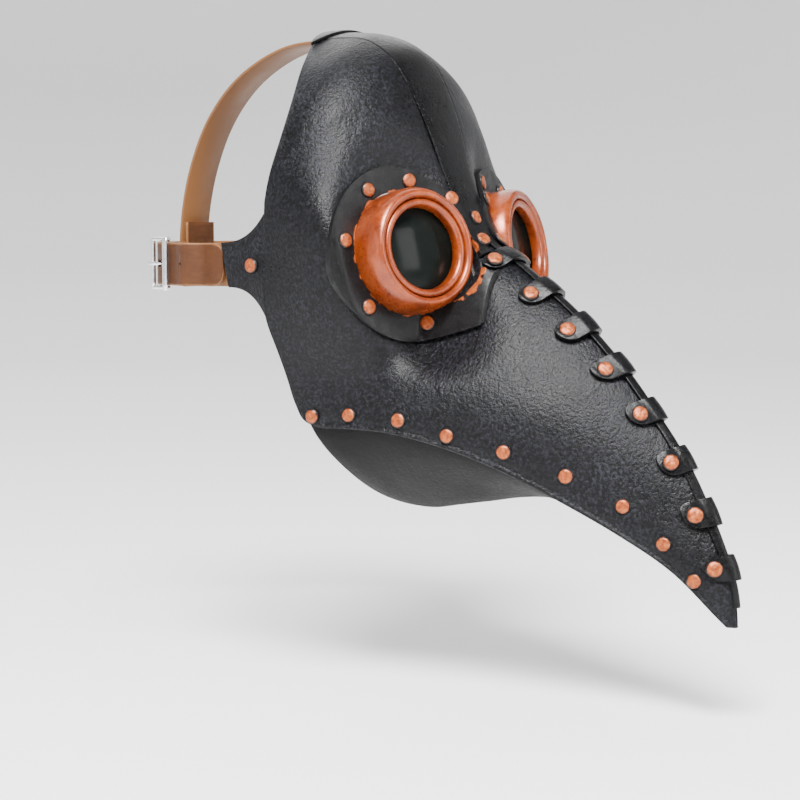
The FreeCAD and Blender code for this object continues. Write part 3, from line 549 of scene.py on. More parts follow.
PANEL = black_leather(
    "grained_leather", 1.0, (0.0022, 0.0022, 0.0026), (0.016, 0.0165, 0.022), 0.36)
# The under panel's leather is the grained leather with less pebbling and more roughness, made darker as
# painted shade for the underside.
UNDER_SHADED = black_leather(
    "under_leather_shaded", 0.6, (0.0015, 0.0015, 0.0017), (0.006, 0.006, 0.0075), 0.55)
SMOOTH = black_leather(
    "smooth_leather", 0.42, (0.0022, 0.0022, 0.0025), (0.010, 0.0104, 0.0125), 0.33)
RING_LEATHER, COPPER, RIVET, STRAP_SKIN = flange_leather(), copper_ring(), copper_rivet(), strap_leather()
LENS = plain_gloss("dark_lens", (0.002, 0.003, 0.0025), 0.1, 14.0, 0.03, Specular_IOR_Level=0.07)
STEEL = plain_gloss("polished_steel", (0.62, 0.62, 0.64), 0.13, 500.0, 0.1, Metallic=1.0)

# --------------------------------------------------------------- the leather


def forehead_half(t):
    """Half the forehead panel's width, to the round tip of its tongue."""
    half = FOREHEAD_HALF + (BRIDGE_HALF - FOREHEAD_HALF) * np.minimum(t / TONGUE_START, 1.0)
    tongue = np.clip((t - TONGUE_START) / (TONGUE - TONGUE_START), 0.0, 1.0)
    return np.maximum(half * np.sqrt(np.maximum(1.0 - tongue ** 2.2, 0.0)), 1.2)


def section(t, start, columns, end=1.0):
    """Evenly spaced skin points from v = start to the outer edge."""
    return evenly(skin(t, np.linspace(start, end, 220)), columns)


def side_panel_grid():
    rows = np.concatenate([np.linspace(0.0, JAW, 150), np.linspace(JAW, 1.0, 150)[1:]])
    across = np.where(rows < TONGUE, forehead_half(rows), 0.0)
    starts = v_at(rows, across + GAP)
    return rows, np.stack([section(t, s, 88) for t, s in zip(rows, starts)])


def lug_grids():
    """The strap lug, flared at the panel's rear edge with a slanted end."""
    g, f = np.meshgrid(np.linspace(0, 1, 26), np.linspace(-0.05, 1.0, 34), indexing="ij")
    near = np.maximum(f, 0.0)
    root = skin(0.03 + 0.28 * g, 1.0)
    tip = np.stack([np.full_like(g, 82.5), -7.0 - 5.5 * g, 13.5 - 23.0 * g], -1)
    across = root[..., 0] + (tip[..., 0] - root[..., 0]) * smooth(0, 1, near)
    level = root[..., 2] + (tip[..., 2] - root[..., 2]) * (1.0 - (1.0 - near) ** 2.6)
    fold = 0.5 * np.exp(-((f - 0.42) / 0.07) ** 2) * np.sin(math.pi * np.clip(g, 0, 1)) ** 0.5
    outer = np.stack([across - fold, root[..., 1] + (tip[..., 1] - root[..., 1]) * f, level], -1)
    inner = outer - np.array([THICK, 0.0, 0.0])
    return outer, inner


ROWS, SIDE = side_panel_grid()
SIDE_INNER = offset(SIDE, -THICK)
# The lower edge is pressed up into a low bead along the seam.
from_edge = np.linalg.norm(SIDE - SIDE[:, -1:], axis=2)
bead = 0.75 * np.exp(-((from_edge - 1.2) / 1.5) ** 2) - 0.35 * np.exp(-((from_edge - 5.0) / 1.6) ** 2)
SIDE = offset(SIDE, bead * smooth(JAW - 0.02, JAW + 0.02, ROWS)[:, None])
SIDE_INNER[..., 0] = np.maximum(SIDE_INNER[..., 0], GAP)
LUG = lug_grids()
HOLE = lathe([(BORE, -30.0), (BORE, 30.0)], CENTRE, AXIS, 128, closed=False)

for side, name in ((1, "left"), (-1, "right")):
    mirror = (lambda p: p) if side > 0 else flip
    verts, faces = shell(uneven(SIDE), uneven(SIDE_INNER))
    panel = make(f"leather_side_{name}", mirror(verts), faces, "panel_leather", PANEL)
    cut(panel, mirror(HOLE[0]), HOLE[1])
    lug_verts, lug_faces = shell(uneven(LUG[0]), uneven(LUG[1]))
    cut(panel, mirror(lug_verts), lug_faces, "UNION")
    soften(panel, 0.5)
    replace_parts(panel, f"side_panel_{name}")

t, f = np.meshgrid(np.linspace(0.0, TONGUE, 120), np.linspace(-1, 1, 61), indexing="ij")
half = v_at(t[:, 0], forehead_half(t[:, 0]) - GAP)
grid = skin(t, half[:, None] * f)
lift = 0.35 * smooth(0.0, 0.06, 1.0 - np.abs(f)) * smooth(0.0, 0.02, TONGUE - t)
verts, faces = shell(uneven(offset(grid, lift)), uneven(offset(grid, -THICK)))
forehead = soften(make("leather_forehead", verts, faces, "trim_leather", SMOOTH), 0.45)
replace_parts(forehead, "forehead_panel")


def under_section(t):
    """The left half of the under panel: the lap behind the seam, then down
    to the keel."""
    lap = min(LAP, 0.6 * float(along(EDGE, 1, t)))
    first = 1.0 - lap / (np.linalg.norm(skin(t, 1.0) - skin(t, 0.9)) / 0.1)
    v = np.linspace(first, 1.0, 16)
    upper = skin(t, v) - normal(t, v) * (THICK + LAP_GAP)
    corner = upper[-1]
    keel = np.array([0.0, float(along(KEEL, 1, t)), float(along(KEEL, 2, t))])
    power = 2.0 / (1.65 - 0.15 * float(smooth(0.6, 0.8, t)))
    turn = np.linspace(1.0, 0.0, 60)[1:] * math.pi / 2
    up = 1.0 - np.maximum(np.cos(turn), 0.0) ** power
    out = np.sin(turn) ** power
    lower = keel + (corner - keel) * np.stack([out, up, up], -1)
    return evenly(np.concatenate([upper, lower]), 44)


grid = np.stack([under_section(t) for t in np.linspace(JAW + 0.004, 0.985, 130)])
grid = np.concatenate([grid, flip(grid)[:, ::-1][:, 1:]], axis=1)
verts, faces = shell(uneven(grid), uneven(offset(grid, -THICK)))
under = soften(make("leather_under", verts, faces, "panel_leather", UNDER_SHADED), 0.5)
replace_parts(under, "under_panel")

# The hem is a crescent at the crown with a low crowned face.
f = np.linspace(-HEM_END, HEM_END, 61)
v = v_at(np.zeros(61), np.abs(f) * HEM_HALF) * np.sign(f)
reach = np.maximum(HEM_LENGTH * (1.0 - f * f) / FRONT_LENGTH, 0.004)
t = np.linspace(0, 1, 9)[:, None] * reach
grid = skin(t, np.broadcast_to(v, t.shape))
crown = np.sqrt(np.maximum(1.0 - (np.linspace(-1, 1, 9)[:, None] * HEM_END) ** 2, 0.0)) * 0.4
verts, faces = shell(uneven(offset(grid, GAP + HEM_THICK + crown)), uneven(offset(grid, GAP)))
hem = soften(make("leather_hem", verts, faces, "trim_leather", SMOOTH), 0.5)
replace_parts(hem, "crown_hem")

t = np.linspace(TONGUE + 0.012, 0.975, 180)
edge = v_at(t, SPINE_HALF * (1.0 - 0.4 * smooth(0.86, 0.96, t)))
grid = skin(t[:, None], edge[:, None] * np.linspace(-1, 1, 17))
verts, faces = shell(uneven(offset(grid, GAP + SPINE_THICK)), uneven(offset(grid, GAP)))
spine = soften(make("leather_spine", verts, faces, "trim_leather", SMOOTH), 0.5)
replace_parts(spine, "beak_spine")

# ------------------------------------------------------------ the ridge tabs

RIDGE_T = np.linspace(TONGUE, 1.0, 2000)
RIDGE_S = np.concatenate([[0.0], np.cumsum(np.linalg.norm(np.diff(skin(RIDGE_T, 0.0), axis=0), axis=1))])
# The ridge's length over the 0.45 of t that the tabs are on.
RATE = np.interp(0.95, RIDGE_T, RIDGE_S) - np.interp(0.5, RIDGE_T, RIDGE_S)


def half_share(width):
    """Half a width along the ridge, in units of t."""
    return 0.5 * width / RATE * 0.45


def reach_v(t, distance):
    """The v that is this far round the section from the centre line."""
    v = np.linspace(0.0, 0.95, 500)
    line = skin(t, v)
    walked = np.concatenate([[0.0], np.cumsum(np.linalg.norm(np.diff(line, axis=0), axis=1))])
    return float(np.interp(distance, walked, v))


def tab_station(index):
    return float(np.interp(TAB_FIRST + index * TAB_PITCH, RIDGE_S, RIDGE_T))


def tab_reach(index):
    return TAB_REACH * (1.0 - 0.26 * float(smooth(1.5, 5.0, index)))


for index in range(TAB_COUNT):
    middle, end = tab_station(index), reach_v(tab_station(index), tab_reach(index))
    half_t = half_share(TAB_WIDTH)
    f = np.linspace(-1, 1, 73)
    g = np.linspace(-1, 1, 17)
    # The ends are rounded from 0.72 of the reach, a quarter ellipse 0.29 long.
    narrow = np.sqrt(np.maximum(1.0 - np.maximum(np.abs(f) - 0.72, 0.0) ** 2 / 0.0841, 0.06))
    skew = rng.uniform(-0.12, 0.12)
    along_ridge = half_t * (narrow[:, None] * g + skew * np.abs(f)[:, None])
    grid = skin(middle - along_ridge, (end * f)[:, None] + 0 * g)
    rise = GAP + 0.1 + 1.9 * (1.0 - smooth(0.34, 0.74, np.abs(f)))[:, None] + 0 * g
    swell = 0.35 * (1 - g ** 2) + 0.25 * np.exp(-((np.abs(f)[:, None] - 0.97) / 0.05) ** 2)
    verts, faces = shell(uneven(offset(grid, rise + TAB_THICK + swell)), uneven(offset(grid, rise)))
    tab = soften(make(f"leather_tab_{index + 1}", verts, faces, "trim_leather", SMOOTH), 0.6, 3)
    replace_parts(tab, f"ridge_tab_{index + 1}")

# ------------------------------------------------------------------- goggles


def ring_radius(points):
    """How far points are from the left goggle's axis."""
    away = points - CENTRE
    height = away @ AXIS
    return np.sqrt(np.maximum((away ** 2).sum(-1) - height ** 2, 0.0))


def flange_parts():
    """The goggle's leather ring: the skin's own form between two radii."""
    t = np.linspace(0.10, 0.78, 130)
    start = v_at(t, 4.5)
    grid = np.stack([section(a, s, 110, 0.9) for a, s in zip(t, start)])
    return shell(uneven(offset(grid, GAP + FLANGE_THICK)), uneven(offset(grid, GAP)))


def tab_room():
    """The room of the first tab, which the leather ring is cut back from."""
    middle = tab_station(0)
    half_t = half_share(TAB_WIDTH + 2 * TAB_MARGIN)
    end = reach_v(middle, TAB_REACH + TAB_MARGIN)
    grid = skin(middle - half_t * np.linspace(-1, 1, 7)[None, :], np.linspace(-end, end, 40)[:, None])
    return shell(offset(grid, 9.0), offset(grid, -4.0))


TUBE = lathe(
    [(BORE, -32), (FLANGE_RADIUS, -32), (FLANGE_RADIUS, 32), (BORE, 32)], CENTRE, AXIS, 128)
NARROW = lathe(
    [(FLANGE_RADIUS, -32), (FLANGE_RADIUS, 32)], CENTRE + OUTWARD * FLANGE_SHIFT, AXIS, 128, False)


def keep_largest(mesh):
    """Deletes all but the largest connected part of a mesh."""
    work = bmesh.new()
    work.from_mesh(mesh)
    islands, seen = [], set()
    for vert in work.verts:
        if vert in seen:
            continue
        stack, island = [vert], []
        seen.add(vert)
        while stack:
            here = stack.pop()
            island.append(here)
            for edge in here.link_edges:
                other = edge.other_vert(here)
                if other not in seen:
                    seen.add(other)
                    stack.append(other)
        islands.append(island)
    islands.sort(key=len)
    for island in islands[:-1]:
        bmesh.ops.delete(work, geom=island, context="VERTS")
    work.to_mesh(mesh)
    work.free()


def ring_parts():
    """The leather ring of the left goggle. It is cut as its mirror image,
    which the boolean solver takes without trouble."""
    verts, faces = flange_parts()
    room_verts, room_faces = tab_room()
    blank = bare("ring", flip(verts), faces, weld=True)
    cut(blank, flip(uneven(TUBE[0])), TUBE[1], "INTERSECT")
    cut(blank, flip(NARROW[0]), NARROW[1], "INTERSECT")
    cut(blank, flip(room_verts), room_faces)
    keep_largest(blank.data)
    ring = flip(places(blank)), [tuple(face.vertices) for face in blank.data.polygons]
    bpy.data.objects.remove(blank)
    return ring


RING = ring_parts()

# Both profiles are (radius, height) along the goggle's axis.
BARREL = [
    (28.4, -2.6), (31.0, -2.6), (31.15, 2.0), (30.9, 7.0), (31.1, 11.5), (30.95, 14.2), (30.7, 16.4),
    (30.0, 18.6), (29.0, 20.2), (27.9, 21.0), (26.6, 21.0), (25.5, 20.4), (24.8, 19.2), (24.6, 17.5),
    (24.6, 12.0), (22.4, 12.0), (22.4, 9.6), (28.4, 9.6),
]
BEZEL = [
    (20.5, 14.1), (24.5, 14.1), (24.5, 18.6), (24.1, 19.5), (23.3, 20.0), (22.4, 20.0),
    (21.4, 19.5), (20.8, 18.6), (20.5, 17.4),
]


def hammered(k, angle):
    """The slight dents and lean of a ring formed by hand."""
    outside = 1.0 if 1 <= k <= 9 else 0.0
    dent = 0.16 * math.sin(3 * angle + 1.3 + 0.5 * k) + 0.10 * math.sin(7 * angle + 0.9 * k)
    dent += 0.07 * math.sin(13 * angle + 1.7 * k)
    return outside * dent - 0.12 * outside, 0.12 * outside * math.sin(5 * angle + k)


for side, name in ((1, "left"), (-1, "right")):
    mirror = (lambda p: p) if side > 0 else flip
    flange = make(f"leather_ring_{name}", mirror(RING[0]), RING[1], "trim_leather", RING_LEATHER)
    attribute(flange, "from_ring", ring_radius(mirror(places(flange))) - 31.0)
    soften(flange, 0.55, 3)
    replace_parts(flange, f"goggle_flange_{name}")

    base, axis = (CENTRE, AXIS) if side > 0 else (flip(CENTRE), flip(AXIS))
    verts, faces = lathe(BARREL, base, axis, 144, True, hammered)
    barrel = make(f"copper_barrel_{name}", verts, faces, "copper_ring", COPPER)
    attribute(barrel, "height", (places(barrel) - base) @ unit(axis))
    smoother = barrel.modifiers.new("rounder", "SUBSURF")
    smoother.levels = smoother.render_levels = 1
    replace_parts(barrel, f"goggle_barrel_{name}")
    verts, faces = lathe(BEZEL, base, axis, 96)
    bezel = soften(make(f"copper_bezel_{name}", verts, faces, "copper_ring", COPPER), 0.3)
    attribute(bezel, "height", np.full(len(bezel.data.vertices), 20.0))
    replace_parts(bezel, f"goggle_bezel_{name}")
    verts, faces = lathe([(24.0, 12.04), (24.35, 12.3), (24.35, 13.7), (24.0, 14.0)], base, axis, 96, False)
    glass = make(f"dark_lens_{name}", verts, faces, "dark_lens", LENS)
    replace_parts(glass, f"lens_{name}")

# -------------------------------------------------------------------- rivets

# The seam rivets: (t, distance up from the edge of the side panel).
SEAM_RIVETS = [
    (0.513, 5.2), (0.559, 9.5), (0.623, 8.5), (0.681, 7.0), (0.735, 7.8),
    (0.789, 8.2), (0.843, 8.0), (0.897, 6.5), (0.946, 4.6),
]


FLANGE_RIVET, SEAM_RIVET, TAB_RIVET, STRAP_RIVET = 4.0, 3.8, 4.2, 4.0
RIVET_CIRCLE, TAB_RIVET_INSET = 37.2, 5.6
FLANGE_ANGLES = (4, 44, 79, 121, 170, 226, 284)


def rivet_mesh(point, out, radius, grip):
    """A hand-set rivet: a flattened, slightly dented head and a peened back."""
    lean = rng.uniform(0, 2 * math.pi)
    size = radius * rng.uniform(0.97, 1.03)
    profile = [
        (0.02, 1.62), (0.35 * size, 1.66), (0.62 * size, 1.58), (0.82 * size, 1.25),
        (0.95 * size, 0.72), (size, 0.28), (size, -0.1), (1.3, -0.1),
        (1.3, -grip), (2.6, -grip), (2.1, -grip - 1.0), (0.02, -grip - 1.0),
    ]
    wave = rng.uniform(0.02, 0.035)

    def dented(k, a):
        head = 1.0 if 0 < k < 7 else 0.0
        return head * size * wave * math.sin(2 * a + lean), head * 0.09 * math.sin(3 * a + lean + k)

    verts, faces = lathe(profile, point, out, 40, False, dented)
    height = (verts - point) @ unit(out)
    # rim is the distance from the axis as a share of the head's radius, 1.2 under the head; the rivet
    # material paints shade where it is high.
    rim = np.linalg.norm(verts - point - height[:, None] * unit(out), axis=1) / size
    rim = np.where(height < 0.5, 1.2, rim)
    return verts, faces, rim


def rivet_group(name, nodes, spots, mirrored=False):
    """Rivets at (point, direction, head radius, grip), as one piece."""
    parts, rims = [], []
    for point, out, radius, grip in spots:
        verts, faces, rim = rivet_mesh(np.array(point, float), np.array(out, float), radius, grip)
        parts.append((verts, faces))
        rims.append(rim)
    verts, faces = joined(*parts)
    rim = np.concatenate(rims)
    if mirrored:
        verts = flip(verts)
    group = bare(name, verts, faces, layer=("rim", rim))
    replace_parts(dress(group, RIVET), *nodes)


def skin_below(foot, axis):
    """The skin point nearest the line through foot along axis."""
    t, v = np.meshgrid(np.linspace(0.1, 0.66, 240), np.linspace(0.02, 0.9, 240), indexing="ij")
    for _ in range(3):
        away = skin(t, v) - foot
        miss = np.linalg.norm(away - (away @ axis)[..., None] * axis, axis=-1)
        i, j = np.unravel_index(np.argmin(miss), miss.shape)
        t0, v0 = t[i, j], v[i, j]
        dt, dv = abs(t[1, 0] - t[0, 0]) * 2, abs(v[0, 1] - v[0, 0]) * 2
        t, v = np.meshgrid(
            np.linspace(t0 - dt, t0 + dt, 41), np.linspace(v0 - dv, v0 + dv, 41), indexing="ij")
    return skin(t0, v0), normal(np.array(t0), np.array(v0))


def lifted(point, out, lift):
    return uneven(point + out * lift)


UP = unit(np.array([0, 0, 1.0]) - AXIS * AXIS[2])
NOSE = np.cross(UP, AXIS)
NOSE = NOSE if NOSE[0] < 0 else -NOSE
flange_spots = []
for degrees in FLANGE_ANGLES:
    a = math.radians(degrees)
    foot = CENTRE + (NOSE * math.cos(a) + UP * math.sin(a)) * RIVET_CIRCLE
    point, out = skin_below(foot, AXIS)
    head = lifted(point, out, GAP + FLANGE_THICK + 0.1)
    flange_spots.append((head, out, FLANGE_RIVET, THICK + 2.8))
seam_spots = []
for t, rise in SEAM_RIVETS:
    v = 1.0 - rise / (np.linalg.norm(skin(t, 1.0) - skin(t, 0.92)) / 0.08)
    out = normal(np.array(t), np.array(v))
    seam_spots.append((lifted(skin(t, v), out, 0.15), out, SEAM_RIVET, 2 * THICK + 0.6))
tab_spots = []
for index in range(TAB_COUNT):
    middle = tab_station(index)
    end = reach_v(middle, tab_reach(index) - TAB_RIVET_INSET)
    out = normal(np.array(middle), np.array(end))
    tab_spots.append((lifted(skin(middle, end), out, GAP + 2.6), out, TAB_RIVET, THICK + 2.7))
for name, mirrored in (("left", False), ("right", True)):
    rivet_group(f"rivets_flange_{name}", [f"flange_rivets_{name}"], flange_spots, mirrored)
    rivet_group(f"rivets_seam_{name}", [f"seam_rivets_{name}"], seam_spots, mirrored)
    rivet_group(f"rivets_tab_{name}", [f"tab_rivets_{name}"], tab_spots, mirrored)
tongue = TONGUE - 0.042
out = normal(np.array(tongue), np.array(0.0))
head = lifted(skin(tongue, 0.0), out, 0.3)
rivet_group("rivet_tongue", ["tongue_rivet"], [(head, out, SEAM_RIVET, THICK + 0.6)])
strap_spots = [((s * 82.8, -28.0, 2.0), (s, 0.0, 0.0), STRAP_RIVET, 6.2) for s in (1.0, -1.0)]
rivet_group("rivets_strap", ["strap_rivets"], strap_spots)

# ------------------------------------------------------------------- harness

STRAP, WIDTH, LEVEL, BAR = 1.6, 22.0, 2.0, 1.1
HEEL_RISE, FOLD = 2.8, 1.22
# The buckle's front and rear bars, as (place along the strap, rise).
KEEPER, TOE, PRONG = (-12.0, 9.3), (14.0, 5.4), 0.9
OUTER_PLY, INNER_PLY = HEEL_RISE + FOLD, HEEL_RISE - FOLD - STRAP


def girth(angle, rise=0.0):
    """A point round the head at strap level, from the right temple back."""
    a, b = 77.2 + rise, 88.0 + rise
    if angle < 0:
        return np.array([-a, b * math.radians(angle), 0.0])
    turn = math.radians(angle)
    return np.array([-a * math.cos(turn), b * math.sin(turn), 0.0])


ALONG = unit(girth(28) - girth(26))
OUT = np.array([-ALONG[1], ALONG[0], 0.0])
OUT = OUT if OUT[0] < 0 else -OUT
HEEL = girth(27, HEEL_RISE)


def at_buckle(u, rise, z=0.0):
    """A point u along the strap from the heel bar, this far off the head."""
    point = HEEL + ALONG * u + OUT * (rise - HEEL_RISE)
    return np.array([point[0], point[1], z])


def smooth_line(points, count):
    """A smooth curve through points, evenly spaced."""
    points = np.array(points, float)
    gaps = np.linalg.norm(np.diff(points, axis=0), axis=1)
    s = np.concatenate([[0.0], np.cumsum(gaps)])
    table = np.column_stack([s, points])
    fine = np.linspace(0, s[-1], 1200)
    line = np.stack([along(table, k, fine) for k in (1, 2, 3)], -1)
    return evenly(line, count)


def strap_mesh(line, across, width, outward, rounded_start=0.0):
    """A strap with softened edges: line runs along its inner face, outward
    gives the side that its thickness is on."""
    tangents = unit(np.gradient(line, axis=0))
    out = unit(np.cross(tangents, across))
    out = np.where(((out * outward(line)).sum(1) > 0)[:, None], out, -out)
    half = width / 2
    ring = [
        (-half + 0.35, 0.0), (-half, 0.3), (-half, STRAP - 0.3), (-half + 0.35, STRAP - 0.02),
        (-half + 1.2, STRAP), (-half * 0.6, STRAP), (0.0, STRAP), (half * 0.6, STRAP),
        (half - 1.2, STRAP), (half - 0.35, STRAP - 0.02), (half, STRAP - 0.3), (half, 0.3),
        (half - 0.35, 0.0), (0.0, 0.0),
    ]
    travelled = np.concatenate([[0.0], np.cumsum(np.linalg.norm(np.diff(line, axis=0), axis=1))])
    verts, edges = [], []
    for k, centre in enumerate(line):
        shrink = 1.0
        if rounded_start:
            near = min(travelled[k] / rounded_start, 1.0)
            shrink = 0.45 + 0.55 * math.sqrt(max(1.0 - (1.0 - near) ** 2, 0.0))
        for w, h in ring:
            verts.append(centre + across * (w * shrink) + out[k] * h)
            edges.append(1.0 if h < STRAP - 0.1 or abs(w) > half - 0.6 else abs(w) / half)
    n = len(ring)
    faces = []
    for k in range(len(line) - 1):
        for i in range(n):
            j = (i + 1) % n
            faces.append((k * n + i, k * n + j, (k + 1) * n + j, (k + 1) * n + i))
    faces.append(tuple(range(n)))
    faces.append(tuple((len(line) - 1) * n + i for i in reversed(range(n))))
    return np.array(verts), faces, edges


def strap(name, pieces, node):
    verts, faces = joined(*[(v, f) for v, f, _ in pieces])
    edges = np.concatenate([e for _, _, e in pieces])
    obj = dress(bare(name, verts, faces, layer=("edge", edges)), STRAP_SKIN)
    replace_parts(obj, node)
    return obj


def from_head(line):
    return unit(line * np.array([1.0, 1.0, 0.0]))


Z = np.array([0.0, 0.0, 1.0])
X = np.array([1.0, 0.0, 0.0])
raised = np.array([0.0, 0.0, LEVEL])


def slot_tool(u0, u1, rise0, rise1, half):
    corners = [at_buckle(u0, rise0), at_buckle(u1, rise0), at_buckle(u1, rise1), at_buckle(u0, rise1)]
    verts = [c + Z * (LEVEL - half) for c in corners] + [c + Z * (LEVEL + half) for c in corners]
    return verts, [(0, 1, 2, 3), (7, 6, 5, 4), (0, 4, 5, 1), (1, 5, 6, 2), (2, 6, 7, 3), (3, 7, 4, 0)]


front = [girth(a) for a in (-25, -16, -7, 0)]
front += [at_buckle(u, OUTER_PLY - drop) for u, drop in ((-24, 1.55), (-16, 0.75), (-8, 0.15))]
turns = np.linspace(0, math.pi, 15)
arc = [at_buckle(FOLD * math.sin(a), HEEL_RISE + FOLD * math.cos(a)) for a in turns]
back = [at_buckle(u, INNER_PLY + STRAP - 0.0016 * u * u) for u in (-8, -15, -22)]
lead = smooth_line(front + [at_buckle(-0.6, OUTER_PLY)], 90)
tail_ply = smooth_line([at_buckle(-0.6, INNER_PLY + STRAP)] + back, 30)
fold_line = np.concatenate([lead, np.array(arc), tail_ply]) + raised


def from_heel(line):
    """Outwards from the fold: away from the mid line between the plies."""
    u = (line - HEEL) @ ALONG
    rise = (line - HEEL) @ OUT
    direction = np.where((rise > 0)[:, None], OUT, -OUT)
    ahead = np.clip(u / FOLD, 0, 1)[:, None]
    return unit(direction * (1.001 - ahead) + ALONG * ahead)


short = strap("leather_strap_short", [strap_mesh(fold_line, Z, WIDTH, from_heel)], "side_strap_right")
cut(short, *slot_tool(-4.6, 6.0, -4, 12, 2.6))

# The long strap from its free end: over the short one, through the buckle and
# round the back of the head to the left temple.
top = OUTER_PLY + STRAP + 0.25
line = [girth(-4.2, STRAP + 0.3), girth(-1, STRAP + 0.3), girth(6, STRAP + 0.5)]
line += [at_buckle(u, top - drop) for u, drop in ((-28, 2.0), (-19, 0.9), (-11, 0.2), (-4, 0.0))]
line += [at_buckle(4, OUTER_PLY + STRAP - 0.15), at_buckle(9, 2.9), at_buckle(15, 0.9)]
line += [girth(a) for a in (56, 66, 78, 90)]
line += [girth(a) * np.array([-1, 1, 1]) for a in (78, 62, 46, 30, 14, 0, -8, -16, -25)]
long_line = smooth_line(line, 420) + raised
long = strap("leather_strap_long", [strap_mesh(long_line, Z, WIDTH, from_head, 7.5)], "side_strap_left")
cut(long, *slot_tool(-4.4, 6.6, OUTER_PLY + STRAP - 2.5, 12, 1.7))
hole = at_buckle(-25.0, -2.0, LEVEL)
cut(long, *lathe([(1.1, 0.0), (1.1, 16.0)], hole, OUT, 24, False))

# The top strap: from under the crown over the head, then looped round the long
# strap at the back.
LENGTH = 88.0
inner_face = LENGTH - 1.3
gap = LENGTH + STRAP + 0.3 - inner_face
low = LEVEL - WIDTH / 2 - 0.3
arch = [
    (0, -36, 114.6), (0, -22, 116.9), (0, -6, 117.4), (0, 10, 115.9), (0, 30, 109.5), (0, 50, 98.0),
    (0, 68, 79.5), (0, 81, 55.0), (0, LENGTH + 0.3, 28.0), (0, LENGTH + STRAP + 0.3, 12.0),
    (0, LENGTH + STRAP + 0.3, LEVEL), (0, LENGTH + STRAP + 0.3, low),
]
arch_line = smooth_line(arch, 200)
turn_y = inner_face + gap / 2
loop = [
    (0, turn_y + gap / 2 * math.cos(a), low - gap / 2 * math.sin(a))
    for a in np.linspace(0.15, math.pi, 12)
]
loop += [(0, inner_face, z) for z in np.linspace(low + 1.0, low + 33.0, 14)]
loop_line = np.concatenate([arch_line, np.array(loop)])


def from_crown(line):
    out = unit(line * np.array([0.0, 1.0, 1.0]))
    y, z = line[:, 1], line[:, 2]
    inside = (y < turn_y) & (y > 60) & (z < low + 34.0)
    out[inside] = [0.0, -1.0, 0.0]
    bend = z < low
    out[bend] = unit(line[bend] - np.array([0.0, turn_y, low]))
    return out


strap("leather_strap_top", [strap_mesh(loop_line, X, WIDTH, from_crown)], "top_strap")

# -------------------------------------------------------------------- buckle


def tube(points, radius, flatten, across, segments=20):
    """A rod with rounded ends, flatten times as wide along across as thick."""
    line = np.array(points, float)
    tangents = unit(np.gradient(line, axis=0))
    verts, faces = [], []
    rounding = [(0.0, 0.35), (0.12, 0.8), (0.4, 1.0)]
    stations = [(line[0] + tangents[0] * radius * d, tangents[0], e) for d, e in rounding]
    stations += [(p, tangent, 1.0) for p, tangent in zip(line[1:-1], tangents[1:-1])]
    stations += [(line[-1] - tangents[-1] * radius * d, tangents[-1], e) for d, e in reversed(rounding)]
    for centre, tangent, size in stations:
        side = unit(np.cross(tangent, across))
        up = np.cross(side, tangent)
        for a in np.linspace(0, 2 * math.pi, segments, endpoint=False):
            thick, wide = side * math.cos(a), up * flatten * math.sin(a)
            verts.append(centre + (thick + wide) * radius * size)
    for k in range(len(stations) - 1):
        for s in range(segments):
            turn = (s + 1) % segments
            near, far = k * segments, (k + 1) * segments
            faces.append((near + s, near + turn, far + turn, far + s))
    faces.append(tuple(reversed(range(segments))))
    faces.append(tuple((len(stations) - 1) * segments + s for s in range(segments)))
    return np.array(verts), faces


high, rail, keeper_flatten = WIDTH / 2 + 0.6, 2.2, 2.3
spots = [KEEPER, (0.0, HEEL_RISE), TOE]
parts = []
for u, rise in spots:
    low_end = at_buckle(u, rise, LEVEL - high - rail)
    high_end = at_buckle(u, rise, LEVEL + high + rail)
    steps_up = [low_end + (high_end - low_end) * f for f in np.linspace(0, 1, 9)]
    parts.append(tube(steps_up, BAR, keeper_flatten if u < 0 else 1.0, ALONG))
for z in (LEVEL + high + rail / 2, LEVEL - high - rail / 2):
    bend = [at_buckle(u, rise, z) for u, rise in spots]
    smooth_bend = smooth_line(bend, 40)
    parts.append(tube(smooth_bend, BAR, 1.0, Z))
buckle = make("steel_buckle", *joined(*parts), "polished_steel", STEEL, "frame")
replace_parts(buckle, "buckle_frame")
rest = TOE[1] + BAR + PRONG + 0.15
route = [(1.0, HEEL_RISE + 2.6), (4.0, rest + 1.5), (9.5, rest + 1.3), (15.6, rest)]
route = smooth_line([at_buckle(u, rise, LEVEL) for u, rise in route], 30)
heel = np.array([HEEL[0], HEEL[1], LEVEL])
hub = lathe([(1.17, -1.3), (2.1, -1.3), (2.1, 1.3), (1.17, 1.3)], heel, Z, 40)
verts, faces = joined(tube(route, PRONG, 1.0, Z), hub)
prong = make("steel_prong", verts, faces, "polished_steel", STEEL, "prong")
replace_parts(prong, "buckle_prong")

# ------------------------------------------------------------ camera and room

AZIMUTH, ELEVATION = math.radians(-52.0), math.radians(5.0)
toward = Vector((
    math.sin(AZIMUTH) * math.cos(ELEVATION),
    -math.cos(AZIMUTH) * math.cos(ELEVATION),
    math.sin(ELEVATION),
))
camera_data = bpy.data.cameras.new("camera")
camera_data.sensor_width = 36.0
camera_data.lens = 91.67
camera = bpy.data.objects.new("camera", camera_data)
camera.location = (-0.84056, -0.71428, 0.02379)
camera.rotation_euler = toward.to_track_quat("Z", "Y").to_euler()
bpy.context.scene.collection.objects.link(camera)
bpy.context.scene.camera = camera

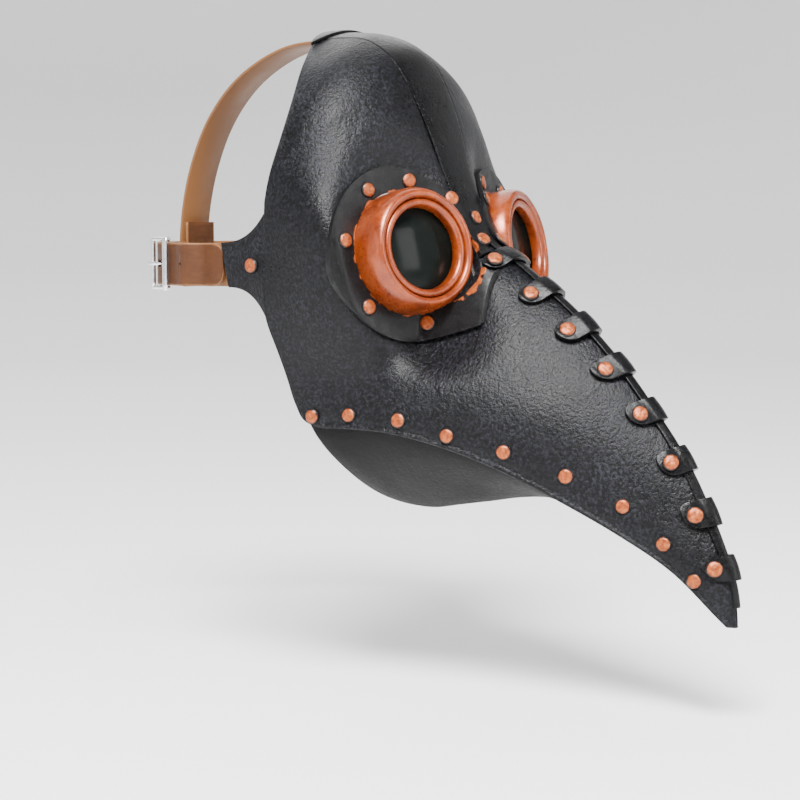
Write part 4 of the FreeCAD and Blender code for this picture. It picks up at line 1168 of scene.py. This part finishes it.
# The backdrop is a bowl turned from (radius, height) in metres.
BOWL = [(0.0, 0.0), (1.4, 0.0), (2.2, 0.02), (2.8, 0.15), (3.3, 0.5), (3.6, 1.0), (3.75, 1.8), (3.8, 2.8)]
FLOOR_LEVEL, SPOKES = -0.215, 96
floor_mesh = bpy.data.meshes.new("floor")
bowl_verts, bowl_faces = [], []
for radius, height in BOWL:
    for k in range(SPOKES):
        a = 2 * math.pi * k / SPOKES
        bowl_verts.append((radius * math.cos(a), radius * math.sin(a), height + FLOOR_LEVEL))
for ring in range(len(BOWL) - 1):
    near, far = ring * SPOKES, (ring + 1) * SPOKES
    for k in range(SPOKES):
        after = (k + 1) % SPOKES
        bowl_faces.append((near + k, near + after, far + after, far + k))
floor_mesh.from_pydata(bowl_verts, [], bowl_faces)
floor_mesh.shade_smooth()
floor = bpy.data.objects.new("floor", floor_mesh)
bpy.context.scene.collection.objects.link(floor)
paper = bpy.data.materials.new("pale_floor")
paper.use_nodes = True
paper_shader = paper.node_tree.nodes["Principled BSDF"]
paper_shader.inputs["Base Color"].default_value = (0.93, 0.93, 0.93, 1.0)
paper_shader.inputs["Roughness"].default_value = 0.9
floor_mesh.materials.append(paper)

world = bpy.data.worlds.new("studio")
world.use_nodes = True
sky = world.node_tree.nodes["Background"]
sky.inputs["Color"].default_value = (1.0, 1.0, 1.0, 1.0)
sky.inputs["Strength"].default_value = 0.3
bpy.context.scene.world = world


def softbox(name, place, size, power):
    light = bpy.data.lights.new(name, "AREA")
    light.shape = "RECTANGLE"
    light.size, light.size_y = size
    light.energy = power
    lamp = bpy.data.objects.new(name, light)
    lamp.location = place
    lamp.rotation_euler = Vector(place).to_track_quat("Z", "Y").to_euler()
    bpy.context.scene.collection.objects.link(lamp)


softbox("key", (-0.9, -0.7, 1.3), (0.8, 0.6), 125.0)
softbox("side", (-1.5, 0.5, 0.3), (0.6, 1.0), 4.0)
softbox("front", (0.3, -1.7, 0.5), (0.6, 1.0), 16.0)
softbox("floor_wash", (0.9, 1.2, 1.8), (2.4, 2.4), 48.0)

bpy.context.view_layer.update()
